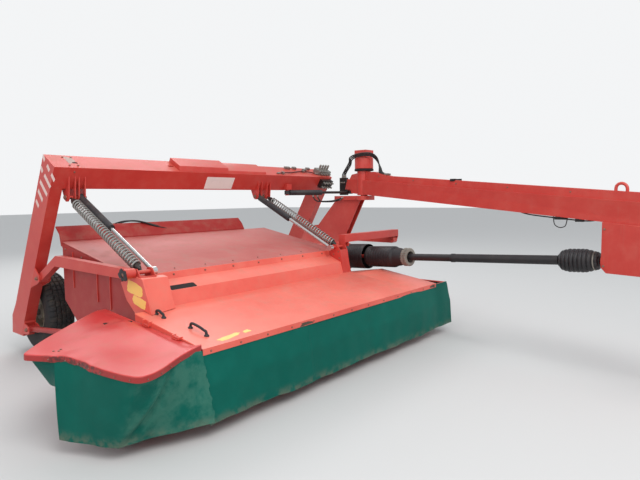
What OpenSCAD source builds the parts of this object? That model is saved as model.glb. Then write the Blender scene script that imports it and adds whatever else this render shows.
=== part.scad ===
// Trailed disc mower conditioner, side-pull, on a forward-leaning two-wheel portal.
// Sizes are in millimetres. The machine frame used below has X to the machine's left,
// Y to the rear and Z up, with its corner under the outer front corner of the canopy.

/* [Portal] */
// Outer width over the two legs
portal_w = 3590; // [3500:10:3700]
// Forward lean of legs and beam
lean = 30; // [28:0.5:32]
// Depth of the box section, across the beam
beam_d = 228; // [200:2:250]
// Height of the box section
beam_h = 200; // [180:2:220]
// Width of a leg
leg_w = 100; // [90:2:110]
// Length of a leg from the top of the beam
leg_len = 1750; // [1700:5:1800]

/* [Wheels] */
// Radius of a tyre
tyre_r = 380; // [360:2:400]
// Width of a tyre
tyre_w = 240; // [200:2:260]
// Radius of a rim at its bead
rim_r = 196; // [180:2:215]
// Gap between a leg and its tyre
wheel_gap = 25; // [15:1:40]

/* [Header] */
// Length of the fixed canopy along its lip
canopy_len = 2970; // [2950:5:3000]
// Width of the low apron beside the hood, at the gearbox end
apron_w = 470; // [430:5:500]
// Thickness of the sheet panels
sheet_t = 5; // [3:0.5:8]
// Height of the canopy's front lip
lip_z = 546; // [530:2:560]
// Depth of the lip's folded edge
lip_h = 40; // [30:1:50]
// Height of a curtain's hem over the ground
hem_z = 90; // [70:2:120]
// Thickness of the curtain cloth
cloth_t = 6; // [4:0.5:8]
// Distance between neighbouring cutting discs
disc_pitch = 390; // [384:1:394]
// Radius of the circle that the blade tips sweep
cut_r = 262; // [250:1:264]
// Radius of the conditioner over its tines
rotor_r = 260; // [240:2:270]

/* [Drawbar] */
// Height of the drawbar's box section
bar_h = 176; // [160:2:190]
// Width of the drawbar's box section
bar_w = 140; // [120:2:160]
// Length of the drawbar from its pivot to its nose
bar_len = 3950; // [3900:10:4050]
// Distance from the hitch's pin back to the rear face of the bearing housing
housing_back = 865; // [840:5:900]
// Angle of the drawbar from straight ahead
bar_yaw = 15; // [12:0.5:17]
// Fall of the drawbar towards its nose
bar_fall = 4.9; // [4.6:0.1:5.2]
// Radius of the pivot post
post_r = 45; // [40:1:55]

/* [Hitch] */
// Distance between the shoulders of the lower link pins
link_span = 825; // [780:5:870]
// Diameter of a lower link pin
link_pin_d = 28; // [22:1:36]
// Length of a lower link pin
link_pin_l = 90; // [80:5:110]
// Height of the lower link pins over the ground
link_pin_z = 620; // [600:5:660]
// Diameter of the power take-off stub
pto_d = 34.9; // [30:0.1:45]

/* [Hidden] */

red = [0.74, 0.16, 0.13];
faded_red = [0.86, 0.38, 0.32];
teal = [0.05, 0.42, 0.37];
black = [0.12, 0.12, 0.13];
steel = [0.62, 0.62, 0.60];

// Gap where pieces seat on each other, and the radial gap of a pin in its bore.
seat = 0.3;
run_fit = 0.05;

// Portal: front top edge of the beam, and the leg faces.
portal_y = 1840;
portal_z = 1715;
left_x = -20;
right_x = left_x + portal_w;
leg_x = [left_x, right_x - leg_w];
axle_z = tyre_r;
axle_along = (portal_z + beam_d / 2 * sin(lean) - axle_z) / cos(lean);
axle_y = portal_y + beam_d / 2 * cos(lean) + axle_along * sin(lean);
hang_y = portal_y + beam_d / 2 * cos(lean);
hang_z = 1470;

// Header pins, and the canopy's profile as [y, z] from the lip back to the hood's end.
pin_y = 860;
pin_z = 925;
pin_r = 15;
crease = [750, 662];
band = [780, 772];
step_foot = [930, 835];
step_top = [945, 888];
hood_rear = [2050, 1092];
apron_fold = [660, 648];
apron_rear = [1080, 585];
wall_t = 8;
wall_front = 740;
ledge_x = 76;
hood_end = canopy_len - apron_w;
wall_x = [100, hood_end + 12];

// Links: each runs from [y, z] on a leg to a parallel point on the header.
upper_pivot = [2300, 765];
lower_pivot = [2590, 262];
link_v = [pin_y, pin_z] - upper_pivot;
low_pin = lower_pivot + link_v;
link_w = 80;
link_x = [for (x = leg_x) x + (leg_w - link_w) / 2];

spring_x = [140, hood_end - 64];
cyl_x = [225, hood_end - 200];

// Drawbar: pivot, and a point at distance s towards the nose.
pivot_x = right_x - 70;
pivot_y = 1270;
bar_z = 1660;
hitch_s = bar_len - 100;
housing_s = hitch_s - housing_back;
stand_s = hitch_s - 400;
function on_bar(s, side = 0, up = 0) = [
    pivot_x - s * sin(bar_yaw) + side * cos(bar_yaw),
    pivot_y - s * cos(bar_yaw) - side * sin(bar_yaw),
    bar_z - s * tan(bar_fall) + up
];
console_z = 1465;
drum_r = 115;

// Side cover outline in its own plane, from the hinge round the front to the rear.
cover_tilt = 5;
cover_tip_x = -775;
cover_edge = [
    [-6, 60], [-290, -70], [-420, -110], [-520, -105], [-590, 60], [-640, 290],
    [cover_tip_x, 570], [-75, 1145], [-6, 1145]
];

// The origin lies under the centre of the machine's box.
yoke_d = 100;
front_y = on_bar(hitch_s)[1] - link_span / 2 * sin(bar_yaw) - yoke_d / 2 * cos(bar_yaw);
mid_x = (cover_tip_x + pivot_x + drum_r) / 2;
mid_y = (axle_y + tyre_r + front_y) / 2;
module placed() {
    translate([-mid_x, -mid_y, 0]) children();
}

// A profile in the Y-Z plane, carried along X from x over a length w.
module along_x(x, w, points) {
    translate([x, 0, 0]) rotate([90, 0, 90]) linear_extrude(w) polygon(points);
}

// A round bar along X, centred on the point [y, z].
module bar_x(x, w, p, r) {
    translate([x, p[0], p[1]]) rotate([0, 90, 0]) cylinder(r = r, h = w, $fn = 48);
}

// A round bar between two points.
module bar_between(a, b, r) {
    d = b - a;
    translate(a) rotate([0, acos(d[2] / norm(d)), atan2(d[1], d[0])])
        cylinder(r = r, h = norm(d), $fn = 48);
}

// The leaning plane of the portal: Y runs across the box, Z up along the legs.
module portal_plane() {
    translate([0, portal_y, portal_z]) rotate([lean, 0, 0]) children();
}

module beam_box(grow = 0) {
    portal_plane() translate([left_x - grow, -grow, -beam_h - grow])
        cube([portal_w + 2 * grow, beam_d + 2 * grow, beam_h + 2 * grow]);
}

module portal_beam() {
    slot_l = 60;
    color(red) placed() difference() {
        beam_box();
        for (slot_x = [130, 1110])
            portal_plane() translate([slot_x, beam_d / 2 - 12, -20]) cube([slot_l, 24, 30]);
    }
}

// Folded cover plates on the beam, a high one and a low one.
module beam_cap() {
    deep = beam_d - 20;
    color(red) placed() portal_plane() translate([0, 10, seat]) {
        along_x(1180, 620, [[0, 0], [deep, 0], [deep, 44], [30, 44]]);
        along_x(1800, 560, [[0, 0], [deep, 0], [deep, 22], [15, 22]]);
    }
}

// A leg hangs from the beam's end and ends in a foot plate at the axle, with lugs for the links.
module leg(x) {
    portal_plane() translate([x, 0, -leg_len]) cube([leg_w, beam_d, leg_len - beam_h - seat]);
    along_x(x + 1, leg_w - 2, [
        [axle_y - 110, axle_z - 60], [axle_y - 60, axle_z + 100], [axle_y + 60, axle_z + 120],
        [axle_y + 175, axle_z - 20], [axle_y + 195, axle_z - 190], [axle_y - 60, axle_z - 190]
    ]);
    for (lug_x = [x + 0.5, x + leg_w - 9.7]) {
        along_x(lug_x, 9.2, [
            upper_pivot + [-42, -25], upper_pivot + [0, -48], upper_pivot + [190, -110],
            upper_pivot + [60, 110], upper_pivot + [-15, 45], upper_pivot + [-42, 25]
        ]);
        along_x(lug_x, 9.2, [
            lower_pivot + [-38, -30], lower_pivot + [0, -45], lower_pivot + [110, -50],
            lower_pivot + [110, 60], lower_pivot + [0, 42], lower_pivot + [-38, 25]
        ]);
    }
    for (p = [upper_pivot, lower_pivot]) bar_x(x + 2, leg_w - 4, p, pin_r);
}

module leg_left() {
    color(red) placed() leg(leg_x[0]);
}

// The inner leg also has a knee plate that carries the drawbar's console.
module leg_right() {
    color(red) placed() {
        leg(leg_x[1]);
        for (x = [leg_x[1], leg_x[1] + leg_w - 9.7]) along_x(x, 9.7, [
            [1310, console_z - 55 - seat], [1700, console_z - 55 - seat], [2000, 1085],
            [2230, 1060], [2500, 640], [2150, 560], [1560, 930]
        ]);
    }
}

module stub_axles() {
    w = wheel_gap + tyre_w - 70;
    color(steel) placed() {
        bar_x(leg_x[0] + leg_w + seat, w, [axle_y, axle_z], 30);
        bar_x(leg_x[1] - seat - w, w, [axle_y, axle_z], 30);
    }
}

// Lugs below the beam that hold the upper eyes of springs and cylinders.
module hanger(x) {
    for (lug_x = [x - 31, x + 21]) along_x(lug_x, 10, [
        [portal_y + 40, portal_z - 60], [hang_y + 110, hang_z + 150], [hang_y + 40, hang_z - 15],
        [hang_y + 15, hang_z - 35], [hang_y - 15, hang_z - 35], [hang_y - 40, hang_z - 15]
    ]);
    bar_x(x - 40, 80, [hang_y, hang_z], pin_r);
}

module hangers() {
    color(red) placed() difference() {
        for (x = concat(spring_x, cyl_x)) hanger(x);
        beam_box(seat);
    }
}

swing_root = [2760, 1900];
swing_z = 1512;
module pivot_console() {
    color(red) placed() {
        translate([leg_x[1] - 30, pivot_y - 110, console_z - 55]) cube([leg_w + 30, 1700 - pivot_y + 110, 55]);
        translate([pivot_x, pivot_y, console_z - 55]) cylinder(r = 100, h = 55, $fn = 64);
        difference() {
            translate([swing_root[0] - 40, swing_root[1] - 40, swing_z + 36]) cube([80, 175, 64]);
            beam_box(seat);
        }
        translate([swing_root[0], swing_root[1], swing_z - 24]) cylinder(r = pin_r, h = 62, $fn = 48);
        translate([swing_root[0], swing_root[1], swing_z + 24]) cylinder(r = 26, h = 13, $fn = 48);
        translate([swing_root[0], swing_root[1], swing_z - 34]) cylinder(r = 26, h = 10, $fn = 48);
    }
}

drum_top = 1935;
module pivot_post() {
    color(red) placed() translate([pivot_x, pivot_y, 0]) {
        translate([0, 0, console_z + seat]) cylinder(r = post_r, h = drum_top + 8 - console_z, $fn = 64);
        translate([-85, -85, drum_top + 6]) cube([170, 170, 88]);
    }
}

module valve_block() {
    color(steel) placed() portal_plane() translate([3330, 40, seat]) {
        cube([230, 110, 60]);
        for (i = [0:3]) translate([35 + i * 52, 55, 60]) cylinder(r = 14, h = 46, $fn = 24);
    }
}

// Wheels. A tyre is a revolved section that turns about the X axis.
wheel_x = [leg_x[0] + leg_w + wheel_gap, leg_x[1] - wheel_gap - tyre_w];
module tyre(x) {
    translate([x, axle_y, axle_z]) rotate([0, 90, 0]) rotate_extrude($fn = 72) polygon([
        [rim_r, 20], [rim_r + 60, 6], [tyre_r - 70, 0], [tyre_r - 22, 14], [tyre_r, 50],
        [tyre_r, tyre_w - 50], [tyre_r - 22, tyre_w - 14], [tyre_r - 70, tyre_w],
        [rim_r + 60, tyre_w - 6], [rim_r, tyre_w - 20]
    ]);
}

module rim(x) {
    hub = 30 + run_fit;
    face = tyre_w / 2;
    seat_r = rim_r - 0.1;
    translate([x, axle_y, axle_z]) rotate([0, 90, 0]) difference() {
        rotate_extrude($fn = 72) polygon([
            [hub, 50], [70, 50], [80, face], [rim_r - 14, face], [rim_r - 14, 20], [seat_r, 20],
            [seat_r, tyre_w - 20], [rim_r - 14, tyre_w - 20], [rim_r - 14, face + 12],
            [84, face + 12], [70, tyre_w - 50], [hub, tyre_w - 50]
        ]);
        for (i = [0:5]) rotate(i * 60) translate([130, 0, -1]) cylinder(r = 9, h = tyre_w + 2, $fn = 24);
    }
}

module tyre_left() {
    color(black) placed() tyre(wheel_x[0]);
}
module tyre_right() {
    color(black) placed() tyre(wheel_x[1]);
}
module rim_left() {
    color(steel) placed() rim(wheel_x[0]);
}
module rim_right() {
    color(steel) placed() rim(wheel_x[1]);
}

// Springs and lift cylinders run from the hangers down to the header's pins.
spring_r = 42;
strut_len = norm([hang_y - pin_y, hang_z - pin_z]);
module on_strut(x) {
    translate([x, pin_y, pin_z]) rotate([-atan2(hang_y - pin_y, hang_z - pin_z), 0, 0]) children();
}

module spring(x) {
    on_strut(x) {
        translate([0, 0, 90]) cylinder(r = spring_r, h = strut_len - 190, $fn = 32);
        translate([0, 0, pin_r + seat]) cylinder(r = 8, h = 80, $fn = 24);
        translate([0, 0, strut_len - 102]) cylinder(r = 8, h = 102 - pin_r - seat, $fn = 24);
    }
}
module spring_left() {
    color(steel) placed() spring(spring_x[0]);
}
module spring_right() {
    color(steel) placed() spring(spring_x[1]);
}

barrel_len = 560;
rod_r = 16;
module barrel(x) {
    mouth = strut_len - barrel_len;
    on_strut(x) difference() {
        union() {
            translate([0, 0, mouth]) cylinder(r = 32, h = barrel_len - 45, $fn = 48);
            translate([-18, 0, strut_len]) rotate([0, 90, 0]) cylinder(r = 32, h = 36, $fn = 48);
            translate([-18, -22, strut_len - 60]) cube([36, 44, 50]);
        }
        translate([-30, 0, strut_len]) rotate([0, 90, 0]) cylinder(r = pin_r + run_fit, h = 60, $fn = 48);
        translate([0, 0, mouth - 1]) cylinder(r = rod_r + run_fit, h = barrel_len - 60, $fn = 48);
    }
}
module rod(x) {
    on_strut(x) {
        translate([0, 0, 10]) cylinder(r = rod_r, h = strut_len - barrel_len + 190, $fn = 48);
        translate([-20, 0, 0]) rotate([0, 90, 0]) cylinder(r = 30, h = 40, $fn = 48);
    }
}
module barrel_left() {
    color(black) placed() barrel(cyl_x[0]);
}
module barrel_right() {
    color(black) placed() barrel(cyl_x[1]);
}
module rod_left() {
    color(steel) placed() rod(cyl_x[0]);
}
module rod_right() {
    color(steel) placed() rod(cyl_x[1]);
}

// Links between the legs and the header.
module upper_links() {
    pin = [pin_y, pin_z];
    color(red) placed() for (x = link_x) difference() {
        union() {
            along_x(x + 10, link_w - 20, [
                upper_pivot + [35, -15], upper_pivot + [38, 20], [1960, 985], pin + [60, 36],
                pin + [0, 36], pin + [0, -36], pin + [60, -36], [1980, 895], upper_pivot + [0, -36]
            ]);
            bar_x(x, link_w, pin, 36);
            bar_x(x, link_w, upper_pivot, 38);
        }
        bar_x(x - 1, link_w + 2, pin, pin_r + run_fit);
        bar_x(x - 1, link_w + 2, upper_pivot, pin_r + run_fit);
    }
}
module lower_links() {
    color(red) placed() for (x = link_x) difference() {
        union() {
            bar_between([x + link_w / 2, lower_pivot[0], lower_pivot[1]],
                        [x + link_w / 2, low_pin[0], low_pin[1]], 24);
            for (p = [lower_pivot, low_pin]) bar_x(x, link_w, p, 34);
        }
        for (p = [lower_pivot, low_pin]) bar_x(x - 1, link_w + 2, p, pin_r + run_fit);
    }
}

// Hinges of the side cover as [y, height of the ears], in the cover's tilted plane.
hinge_ears = [[220, 24], [560, 41]];
hinge_x = -14;
hinge_up = 12;
hinge_r = 6;
module cover_plane() {
    translate([0, 0, lip_z]) rotate([cover_tilt, 0, 0]) children();
}

// Canopy: a folded sheet with a ledge, and a lower apron at the gearbox end.
module canopy() {
    t = sheet_t;
    color(faded_red) placed() {
        along_x(0, hood_end, [
            [0, lip_z - lip_h], [0, lip_z], crease, crease + [t, -t], [t, lip_z - t], [t, lip_z - lip_h]
        ]);
        along_x(ledge_x, hood_end - ledge_x, [
            crease, band, step_foot, step_top,
            step_top + [t, 0], step_foot + [t, -t], band + [t, -t], crease + [t, -t]
        ]);
        cover_plane() for (h = hinge_ears) difference() {
            for (y = [h[0] - 8 - seat, h[0] + 60 + seat])
                translate([hinge_x - 8, y, 4]) cube([16 - hinge_x, 8, h[1] - 4]);
            translate([hinge_x, h[0] - 10, hinge_up]) rotate([-90, 0, 0])
                cylinder(r = hinge_r + run_fit, h = 80, $fn = 32);
        }
        difference() {
            along_x(hood_end, canopy_len - hood_end, [
                [0, lip_z - lip_h], [0, lip_z], apron_fold, apron_rear,
                apron_rear - [0, t], apron_fold - [0, t], [t, lip_z - t], [t, lip_z - lip_h]
            ]);
            translate([wall_x[1] - seat, wall_front - 5, apron_rear[1] - 50])
                cube([wall_t + 2 * seat, apron_rear[0], 100]);
        }
    }
}

module hood() {
    t = sheet_t;
    front = step_top + [t + seat, 0];
    color(faded_red) placed() along_x(wall_x[0], hood_end - wall_x[0], [
        front, hood_rear, hood_rear + [0, -50], hood_rear + [-t, -50], hood_rear + [-t, -t], front + [0, -t]
    ]);
}

module rear_rail() {
    y = hood_rear[0] + seat;
    z = hood_rear[1];
    color(red) placed() along_x(wall_x[0], hood_end - 420, [
        [y, z - 40], [y + 20, z - 40], [y + 45, z + 60], [y + 115, z + 125],
        [y + 100, z + 130], [y + 38, z + 72], [y, z + 10]
    ]);
}

module header_frame() {
    t = sheet_t + seat;
    toe = bar_y + 190 + seat;
    color(red) placed() {
        for (x = wall_x) along_x(x, wall_t, [
            [toe, 46], [toe, 74], [wall_front - 40, 74], [wall_front, 200], [crease[0] + t, crease[1] - t], [band[0] + t, band[1] - t],
            [step_foot[0] + t, step_foot[1] - t - 4], [step_foot[0] + 22, step_top[1] - t - 4],
            hood_rear + [-t - 4, -t - 4], hood_rear + [-t - 4, -500], [1700, 330], [1300, 150], [1000, 46]
        ]);
        bar_x(wall_x[0] + wall_t, wall_x[1] - wall_x[0] - wall_t, [900, 745], 34);
        bar_x(wall_x[0] + wall_t, wall_x[1] - wall_x[0] - wall_t, [1500, 920], 40);
        bar_x(link_x[0], wall_x[0] - link_x[0], low_pin, pin_r);
        bar_x(wall_x[1] + wall_t, link_x[1] - wall_x[1] - wall_t - seat, low_pin, 25);
        bar_x(link_x[1] - 1, link_w + 1, low_pin, pin_r);
    }
}

// Brackets on the ledge hold the pin bars for links, springs and cylinder rods.
bracket_w = 128;
module bracket(x) {
    profile = [
        crease + [-seat, seat], band + [-seat, 2 * seat], step_foot + [-2 * seat, seat],
        [step_foot[0] - 2 * seat, 900], [pin_y + 30, pin_z + 28], [pin_y - 25, pin_z + 30], [790, 900]
    ];
    for (plate_x = [x, x + bracket_w - 8]) along_x(plate_x, 8, profile);
    along_x(x, bracket_w, [
        crease + [-seat, seat], band + [-seat, 2 * seat], [step_foot[0] - 130, 795], [800, 880], [792, 902]
    ]);
}
module lift_brackets() {
    right_bar = cyl_x[1] + 20 + seat;
    out_x = hood_end - 8;
    out_w = 68;
    out_end = link_x[1] + link_w + seat + 8;
    beam_z = pin_z + 45;
    color(red) placed() {
        bracket(spring_x[0] - bracket_w / 2);
        bracket(spring_x[1] - bracket_w / 2);
        bar_x(link_x[0], cyl_x[0] - 20 - seat - link_x[0], [pin_y, pin_z], pin_r);
        bar_x(right_bar, out_x + out_w - right_bar, [pin_y, pin_z], pin_r);
        translate([out_x, pin_y - 45, beam_z]) cube([out_end - out_x, 80, 80]);
        for (x = [out_x, out_x + out_w - 8]) along_x(x, 8, [
            [pin_y - 45, pin_z], [pin_y + 35, pin_z], [pin_y + 35, beam_z + 80], [pin_y - 45, beam_z + 80]
        ]);
        for (x = [link_x[1] - seat - 8, out_end - 8]) along_x(x, 8, [
            [pin_y - 20, pin_z - 28], [pin_y + 20, pin_z - 28], [pin_y + 35, beam_z + 1], [pin_y - 45, beam_z + 1]
        ]);
        bar_x(link_x[1] - seat - 8, link_w + 2 * seat + 16, [pin_y, pin_z], pin_r);
    }
}

swath_l = 560;
module swath_plates() {
    t = sheet_t + 1;
    y = hood_rear[0] - swath_l + 70;
    color(red) placed() {
        translate([wall_x[0] + wall_t + seat, y, 330]) rotate([0, 0, -12]) cube([t, swath_l, swath_l]);
        translate([wall_x[1] - t - seat, y, 330]) rotate([0, 0, 12]) cube([t, swath_l, swath_l]);
    }
}

// Cutterbar: a flat housing with a skid shoe under each disc.
bar_y = 420;
function disc_x(i) = -240 + i * disc_pitch;
module cutterbar() {
    first = disc_x(0) - 160;
    color(red) placed() {
        along_x(first, disc_x(8) + 160 - first, [
            [bar_y - 150, 40], [bar_y - 110, 84], [bar_y + 160, 84], [bar_y + 190, 74],
            [bar_y + 190, 40], [bar_y + 150, 24], [bar_y - 100, 24]
        ]);
        for (i = [0:8]) along_x(disc_x(i) - 120, 240, [
            [bar_y - 185, 58], [bar_y - 150, 44], [bar_y - 100, 26], [bar_y + 150, 26],
            [bar_y + 180, 42], [bar_y + 180, 26], [bar_y + 120, 0], [bar_y - 60, 0], [bar_y - 160, 24]
        ]);
    }
}

// An oval disc with a cone and two blades; neighbours stand a quarter turn apart.
module cutting_disc(i) {
    color(steel) placed() translate([disc_x(i), bar_y, 0]) rotate(i % 2 * 90) {
        translate([0, 0, 84 + seat]) cylinder(r = 60, h = 22, $fn = 48);
        translate([0, 0, 106]) linear_extrude(14) intersection() {
            circle(r = 186, $fn = 72);
            square([400, 228], center = true);
        }
        translate([0, 0, 120]) cylinder(r1 = 90, r2 = 50, h = 26, $fn = 48);
        for (a = [0, 180]) rotate(a) translate([140, -22, 101]) cube([cut_r - 142, 44, 5]);
    }
}
module disc_1() cutting_disc(0);
module disc_2() cutting_disc(1);
module disc_3() cutting_disc(2);
module disc_4() cutting_disc(3);
module disc_5() cutting_disc(4);
module disc_6() cutting_disc(5);
module disc_7() cutting_disc(6);
module disc_8() cutting_disc(7);
module disc_9() cutting_disc(8);

rotor_y = 1010;
rotor_z = 430;
module conditioner() {
    start = wall_x[0] + wall_t + seat;
    span = wall_x[1] - wall_x[0] - wall_t - 2 * seat;
    tines = 17;
    pitch = (span - 260) / tines;
    color(black) placed() translate([0, rotor_y, rotor_z]) rotate([0, 90, 0]) {
        translate([0, 0, start]) cylinder(r = 40, h = span, $fn = 32);
        translate([0, 0, start + 60]) cylinder(r = 110, h = span - 120, $fn = 48);
        for (row = [0:3]) for (k = [0:tines - 1]) rotate(row * 90 + k % 2 * 45)
            translate([100, -12, start + 130 + k * pitch]) cube([rotor_r - 102, 24, 40]);
    }
}

// Input gearbox at the hood's inner end, and the shaft line to the drawbar's bearing housing.
j_rear = [canopy_len + 30, 780, 775];
ball_r = 48;
shaft_drop = 490;
j_front = on_bar(housing_s, 0, -shaft_drop);
pto_v = j_front - j_rear;
pto_len = norm(pto_v);
pto_rise = asin(pto_v[2] / pto_len);
pto_swing = atan2(-pto_v[0], -pto_v[1]);
shield_r = 142;
shield_l = 430;
module pto_line() {
    translate(j_rear) rotate([0, 0, -pto_swing]) rotate([-pto_rise, 0, 0]) rotate([90, 0, 0]) children();
}

module gearbox() {
    x = wall_x[1] + wall_t + seat;
    color(red) placed() difference() {
        union() {
            along_x(x, j_rear[0] + 190 - x, [
                [1230, 600], [1230, 870], [1290, 900], [1480, 900], [1500, 870], [1500, 560], [1270, 560]
            ]);
            pto_line() translate([0, 0, -shield_l - 60]) cylinder(r = 100, h = 60 - seat, $fn = 48);
            pto_line() translate([0, 0, -shield_l - 10]) cylinder(r = 22, h = shield_l - 25, $fn = 48);
        }
        pto_line() sphere(r = ball_r + run_fit, $fn = 48);
    }
}

module pto_shield() {
    color(black) placed() pto_line() difference() {
        translate([0, 0, -shield_l]) cylinder(r = shield_r, h = shield_l - 80, $fn = 64);
        translate([0, 0, 12 - shield_l]) cylinder(r = shield_r - 7, h = shield_l, $fn = 64);
        translate([0, 0, -shield_l - 1]) cylinder(r = 28, h = 20, $fn = 48);
    }
}

// The wide-angle joint turns about its cross; the guarded shaft telescopes in front of it.
cross_r = 12;
module pto_cross() {
    color(steel) placed() {
        pto_line() {
            sphere(r = ball_r, $fn = 48);
            rotate([0, 90, 0]) cylinder(r = cross_r, h = 220, center = true, $fn = 48);
        }
        translate(j_rear) cylinder(r = cross_r, h = 130, center = true, $fn = 48);
    }
}

module pto_tube() {
    back = -60;
    waist = 310;
    mouth = 500;
    long = 1460;
    color(black) placed() pto_line() difference() {
        union() {
            translate([0, 0, back]) cylinder(r = 116, h = waist - back, $fn = 64);
            translate([0, 0, waist]) cylinder(r = 102, h = mouth - waist, $fn = 64);
            translate([0, 0, waist]) cylinder(r = guard_r, h = long - waist, $fn = 48);
        }
        translate([0, 0, back - 1]) cylinder(r = 104, h = 62 - back, $fn = 64);
        rotate([0, 90, 0]) cylinder(r = cross_r + run_fit, h = 260, center = true, $fn = 48);
        translate([0, 0, waist + 110]) difference() {
            cylinder(r = 94, h = mouth, $fn = 64);
            translate([0, 0, -1]) cylinder(r = guard_r, h = mouth + 2, $fn = 48);
        }
    }
}

pto_tip = pto_len - 40;
guard_r = 36;
sleeve_r = 40;
module pto_slider() {
    color(black) placed() pto_line() translate([0, 0, 1000]) difference() {
        cylinder(r = sleeve_r, h = pto_tip - 1100, $fn = 48);
        translate([0, 0, -1]) cylinder(r = guard_r + run_fit, h = 640, $fn = 48);
    }
}

module pto_joint() {
    back = pto_tip - 320;
    color(black) placed() pto_line() difference() {
        union() {
            translate([0, 0, back]) rotate_extrude($fn = 48) polygon([
                [0, 0], [50, 0], [86, 26], [98, 80], [98, 205], [84, 264], [62, 300], [0, 300]
            ]);
            translate([0, 0, pto_tip - 30]) cylinder(r = 34, h = 30, $fn = 48);
        }
        translate([0, 0, back - 1]) cylinder(r = sleeve_r + run_fit, h = 240, $fn = 48);
    }
}

// Curtains, and the rail that carries them round the gearbox end.
rail_x = canopy_len + 252;
rail_p = [30, 522];
module curtain_rail() {
    r = 8;
    right = wall_x[1] + wall_t + seat;
    color(red) placed() {
        bar_x(canopy_len - 40, rail_x + r - canopy_len + 40, rail_p, r);
        translate([rail_x, rail_p[0], rail_p[1]]) rotate([-90, 0, 0]) cylinder(r = r, h = 870, $fn = 48);
        bar_x(right, rail_x + r - right, [900, rail_p[1]], r);
        translate([canopy_len - 40, sheet_t + 2 + cloth_t + seat, rail_p[1] - r])
            cube([30, 26, lip_z - sheet_t - rail_p[1] + r - 1]);
    }
}

module front_curtain() {
    t = cloth_t;
    y = sheet_t + 2;
    color(teal) placed() along_x(2, rail_x + 10 - 2, [
        [y, lip_z - 12], [y, lip_z - lip_h - 10], [-30, 330], [-40, hem_z], [-40 + t, hem_z],
        [-30 + t, 330], [y + t, lip_z - lip_h - 10], [y + t, lip_z - 12]
    ]);
}

module end_curtain() {
    color(teal) placed() along_x(rail_x + 10 + seat, cloth_t, [
        [-40, hem_z], [-30, 330], [10, lip_z - 30], [900, lip_z - 12], [900, hem_z + 60]
    ]);
}

// Side cover: a tilted sheet with a folded rim, hinged along the canopy's outer end.
module side_cover() {
    rim_h = 38;
    color(faded_red) placed() cover_plane() {
        translate([0, 0, -sheet_t]) linear_extrude(sheet_t) polygon(cover_edge);
        translate([0, 0, -rim_h]) linear_extrude(rim_h) difference() {
            polygon(cover_edge);
            offset(delta = -sheet_t) polygon(cover_edge);
            translate([-30, 60]) square([60, 1200]);
        }
        for (h = hinge_ears) translate([hinge_x, h[0], 0]) {
            translate([0, 0, hinge_up]) rotate([-90, 0, 0]) cylinder(r = 8, h = 60, $fn = 32);
            translate([0, -8, hinge_up]) rotate([-90, 0, 0]) cylinder(r = hinge_r, h = 76, $fn = 32);
            translate([-8, 0, -1]) cube([16, 60, hinge_up]);
        }
    }
}

module side_curtain() {
    inset = sheet_t + 5;
    color(teal) placed() difference() {
        translate([0, 0, hem_z]) linear_extrude(600) difference() {
            offset(delta = -inset) polygon(cover_edge);
            offset(delta = -inset - cloth_t) polygon(cover_edge);
            translate([-30, -200]) square([400, 2000]);
            translate([-600, 560]) square([900, 2000]);
            translate([-1000, 545]) square([900, 2000]);
        }
        cover_plane() translate([-1500, -1500, -sheet_t - seat]) cube([3000, 4000, 900]);
    }
}

// Drawbar. Its own frame has X to its side and Y back towards the pivot.
module bar_frame(s = 0) {
    translate(on_bar(s)) rotate([0, 0, -bar_yaw]) children();
}
tail_s = -280;
tail_z = swing_z + 24 - bar_z;
channel_h = 72;
module drawbar() {
    f = tan(bar_fall);
    color(red) placed() difference() {
        union() {
            bar_frame() translate([-bar_w / 2, 0, 0]) along_x(0, bar_w, [
                [250, 250 * f], [300, tail_z + 14], [190, tail_z + 14], [170, 170 * f - bar_h],
                [-3700, -3700 * f - bar_h],
                [-bar_len, -bar_len * f - bar_h + 50], [-bar_len, -bar_len * f]
            ]);
            bar_frame(hitch_s) translate([0, 0, -bar_h - 10]) cylinder(r = 78, h = bar_h + 20, $fn = 64);
            bar_frame() translate([25 - bar_w / 2, 0, 0]) along_x(0, bar_w - 50, [
                [240, 240 * f - 5], [190, 190 * f + 60], [20, 95], [-230, 112 - 230 * f],
                [-480, channel_h - 480 * f], [-3700, channel_h - 3700 * f], [-3700, -3700 * f - 5]
            ]);
            bar_frame() translate([-36, 100, tail_z]) cube([72, -tail_s - 100, 14.5]);
            bar_frame() translate([0, -tail_s, tail_z]) cylinder(r = 36, h = 14.5, $fn = 48);
        }
        translate([pivot_x, pivot_y, 1400]) cylinder(r = 86, h = 600, $fn = 64);
        bar_frame(hitch_s) translate([0, 0, -bar_h - 30]) cylinder(r = 35 + run_fit, h = bar_h + 60, $fn = 64);
    }
}

// The pivot boss stands through the bar, with a wide drum under the post's head.
module drawbar_boss() {
    color(red) placed() translate([pivot_x, pivot_y, 0]) difference() {
        union() {
            translate([0, 0, console_z + 6]) cylinder(r = 86 - seat, h = 1800 - console_z - 6, $fn = 64);
            translate([0, 0, 1800]) cylinder(r = drum_r, h = drum_top - 1800, $fn = 64);
        }
        translate([0, 0, 1400]) cylinder(r = post_r + run_fit, h = 600, $fn = 64);
    }
}

module pto_housing() {
    w = 180;
    drop = 576;
    front = -610;
    f = tan(bar_fall);
    color(red) placed() bar_frame(housing_s) {
        translate([-w / 2, 0, 0]) along_x(0, w, [
            [0, -bar_h - seat], [0, 40 - drop], [-40, -drop], [-500, -drop], [front, 140 - drop],
            [front, front * f - bar_h - seat]
        ]);
        translate([0, 20, -shaft_drop]) rotate([90, 0, 0]) cylinder(r = 62, h = 24, $fn = 48);
        translate([0, front + 80, -shaft_drop]) rotate([90, 0, 0]) cylinder(r = 46, h = 86, $fn = 64);
        translate([0, front + 30, -shaft_drop]) rotate([90, 0, 0]) cylinder(r = pto_d / 2, h = 126, $fn = 64);
    }
}

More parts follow.
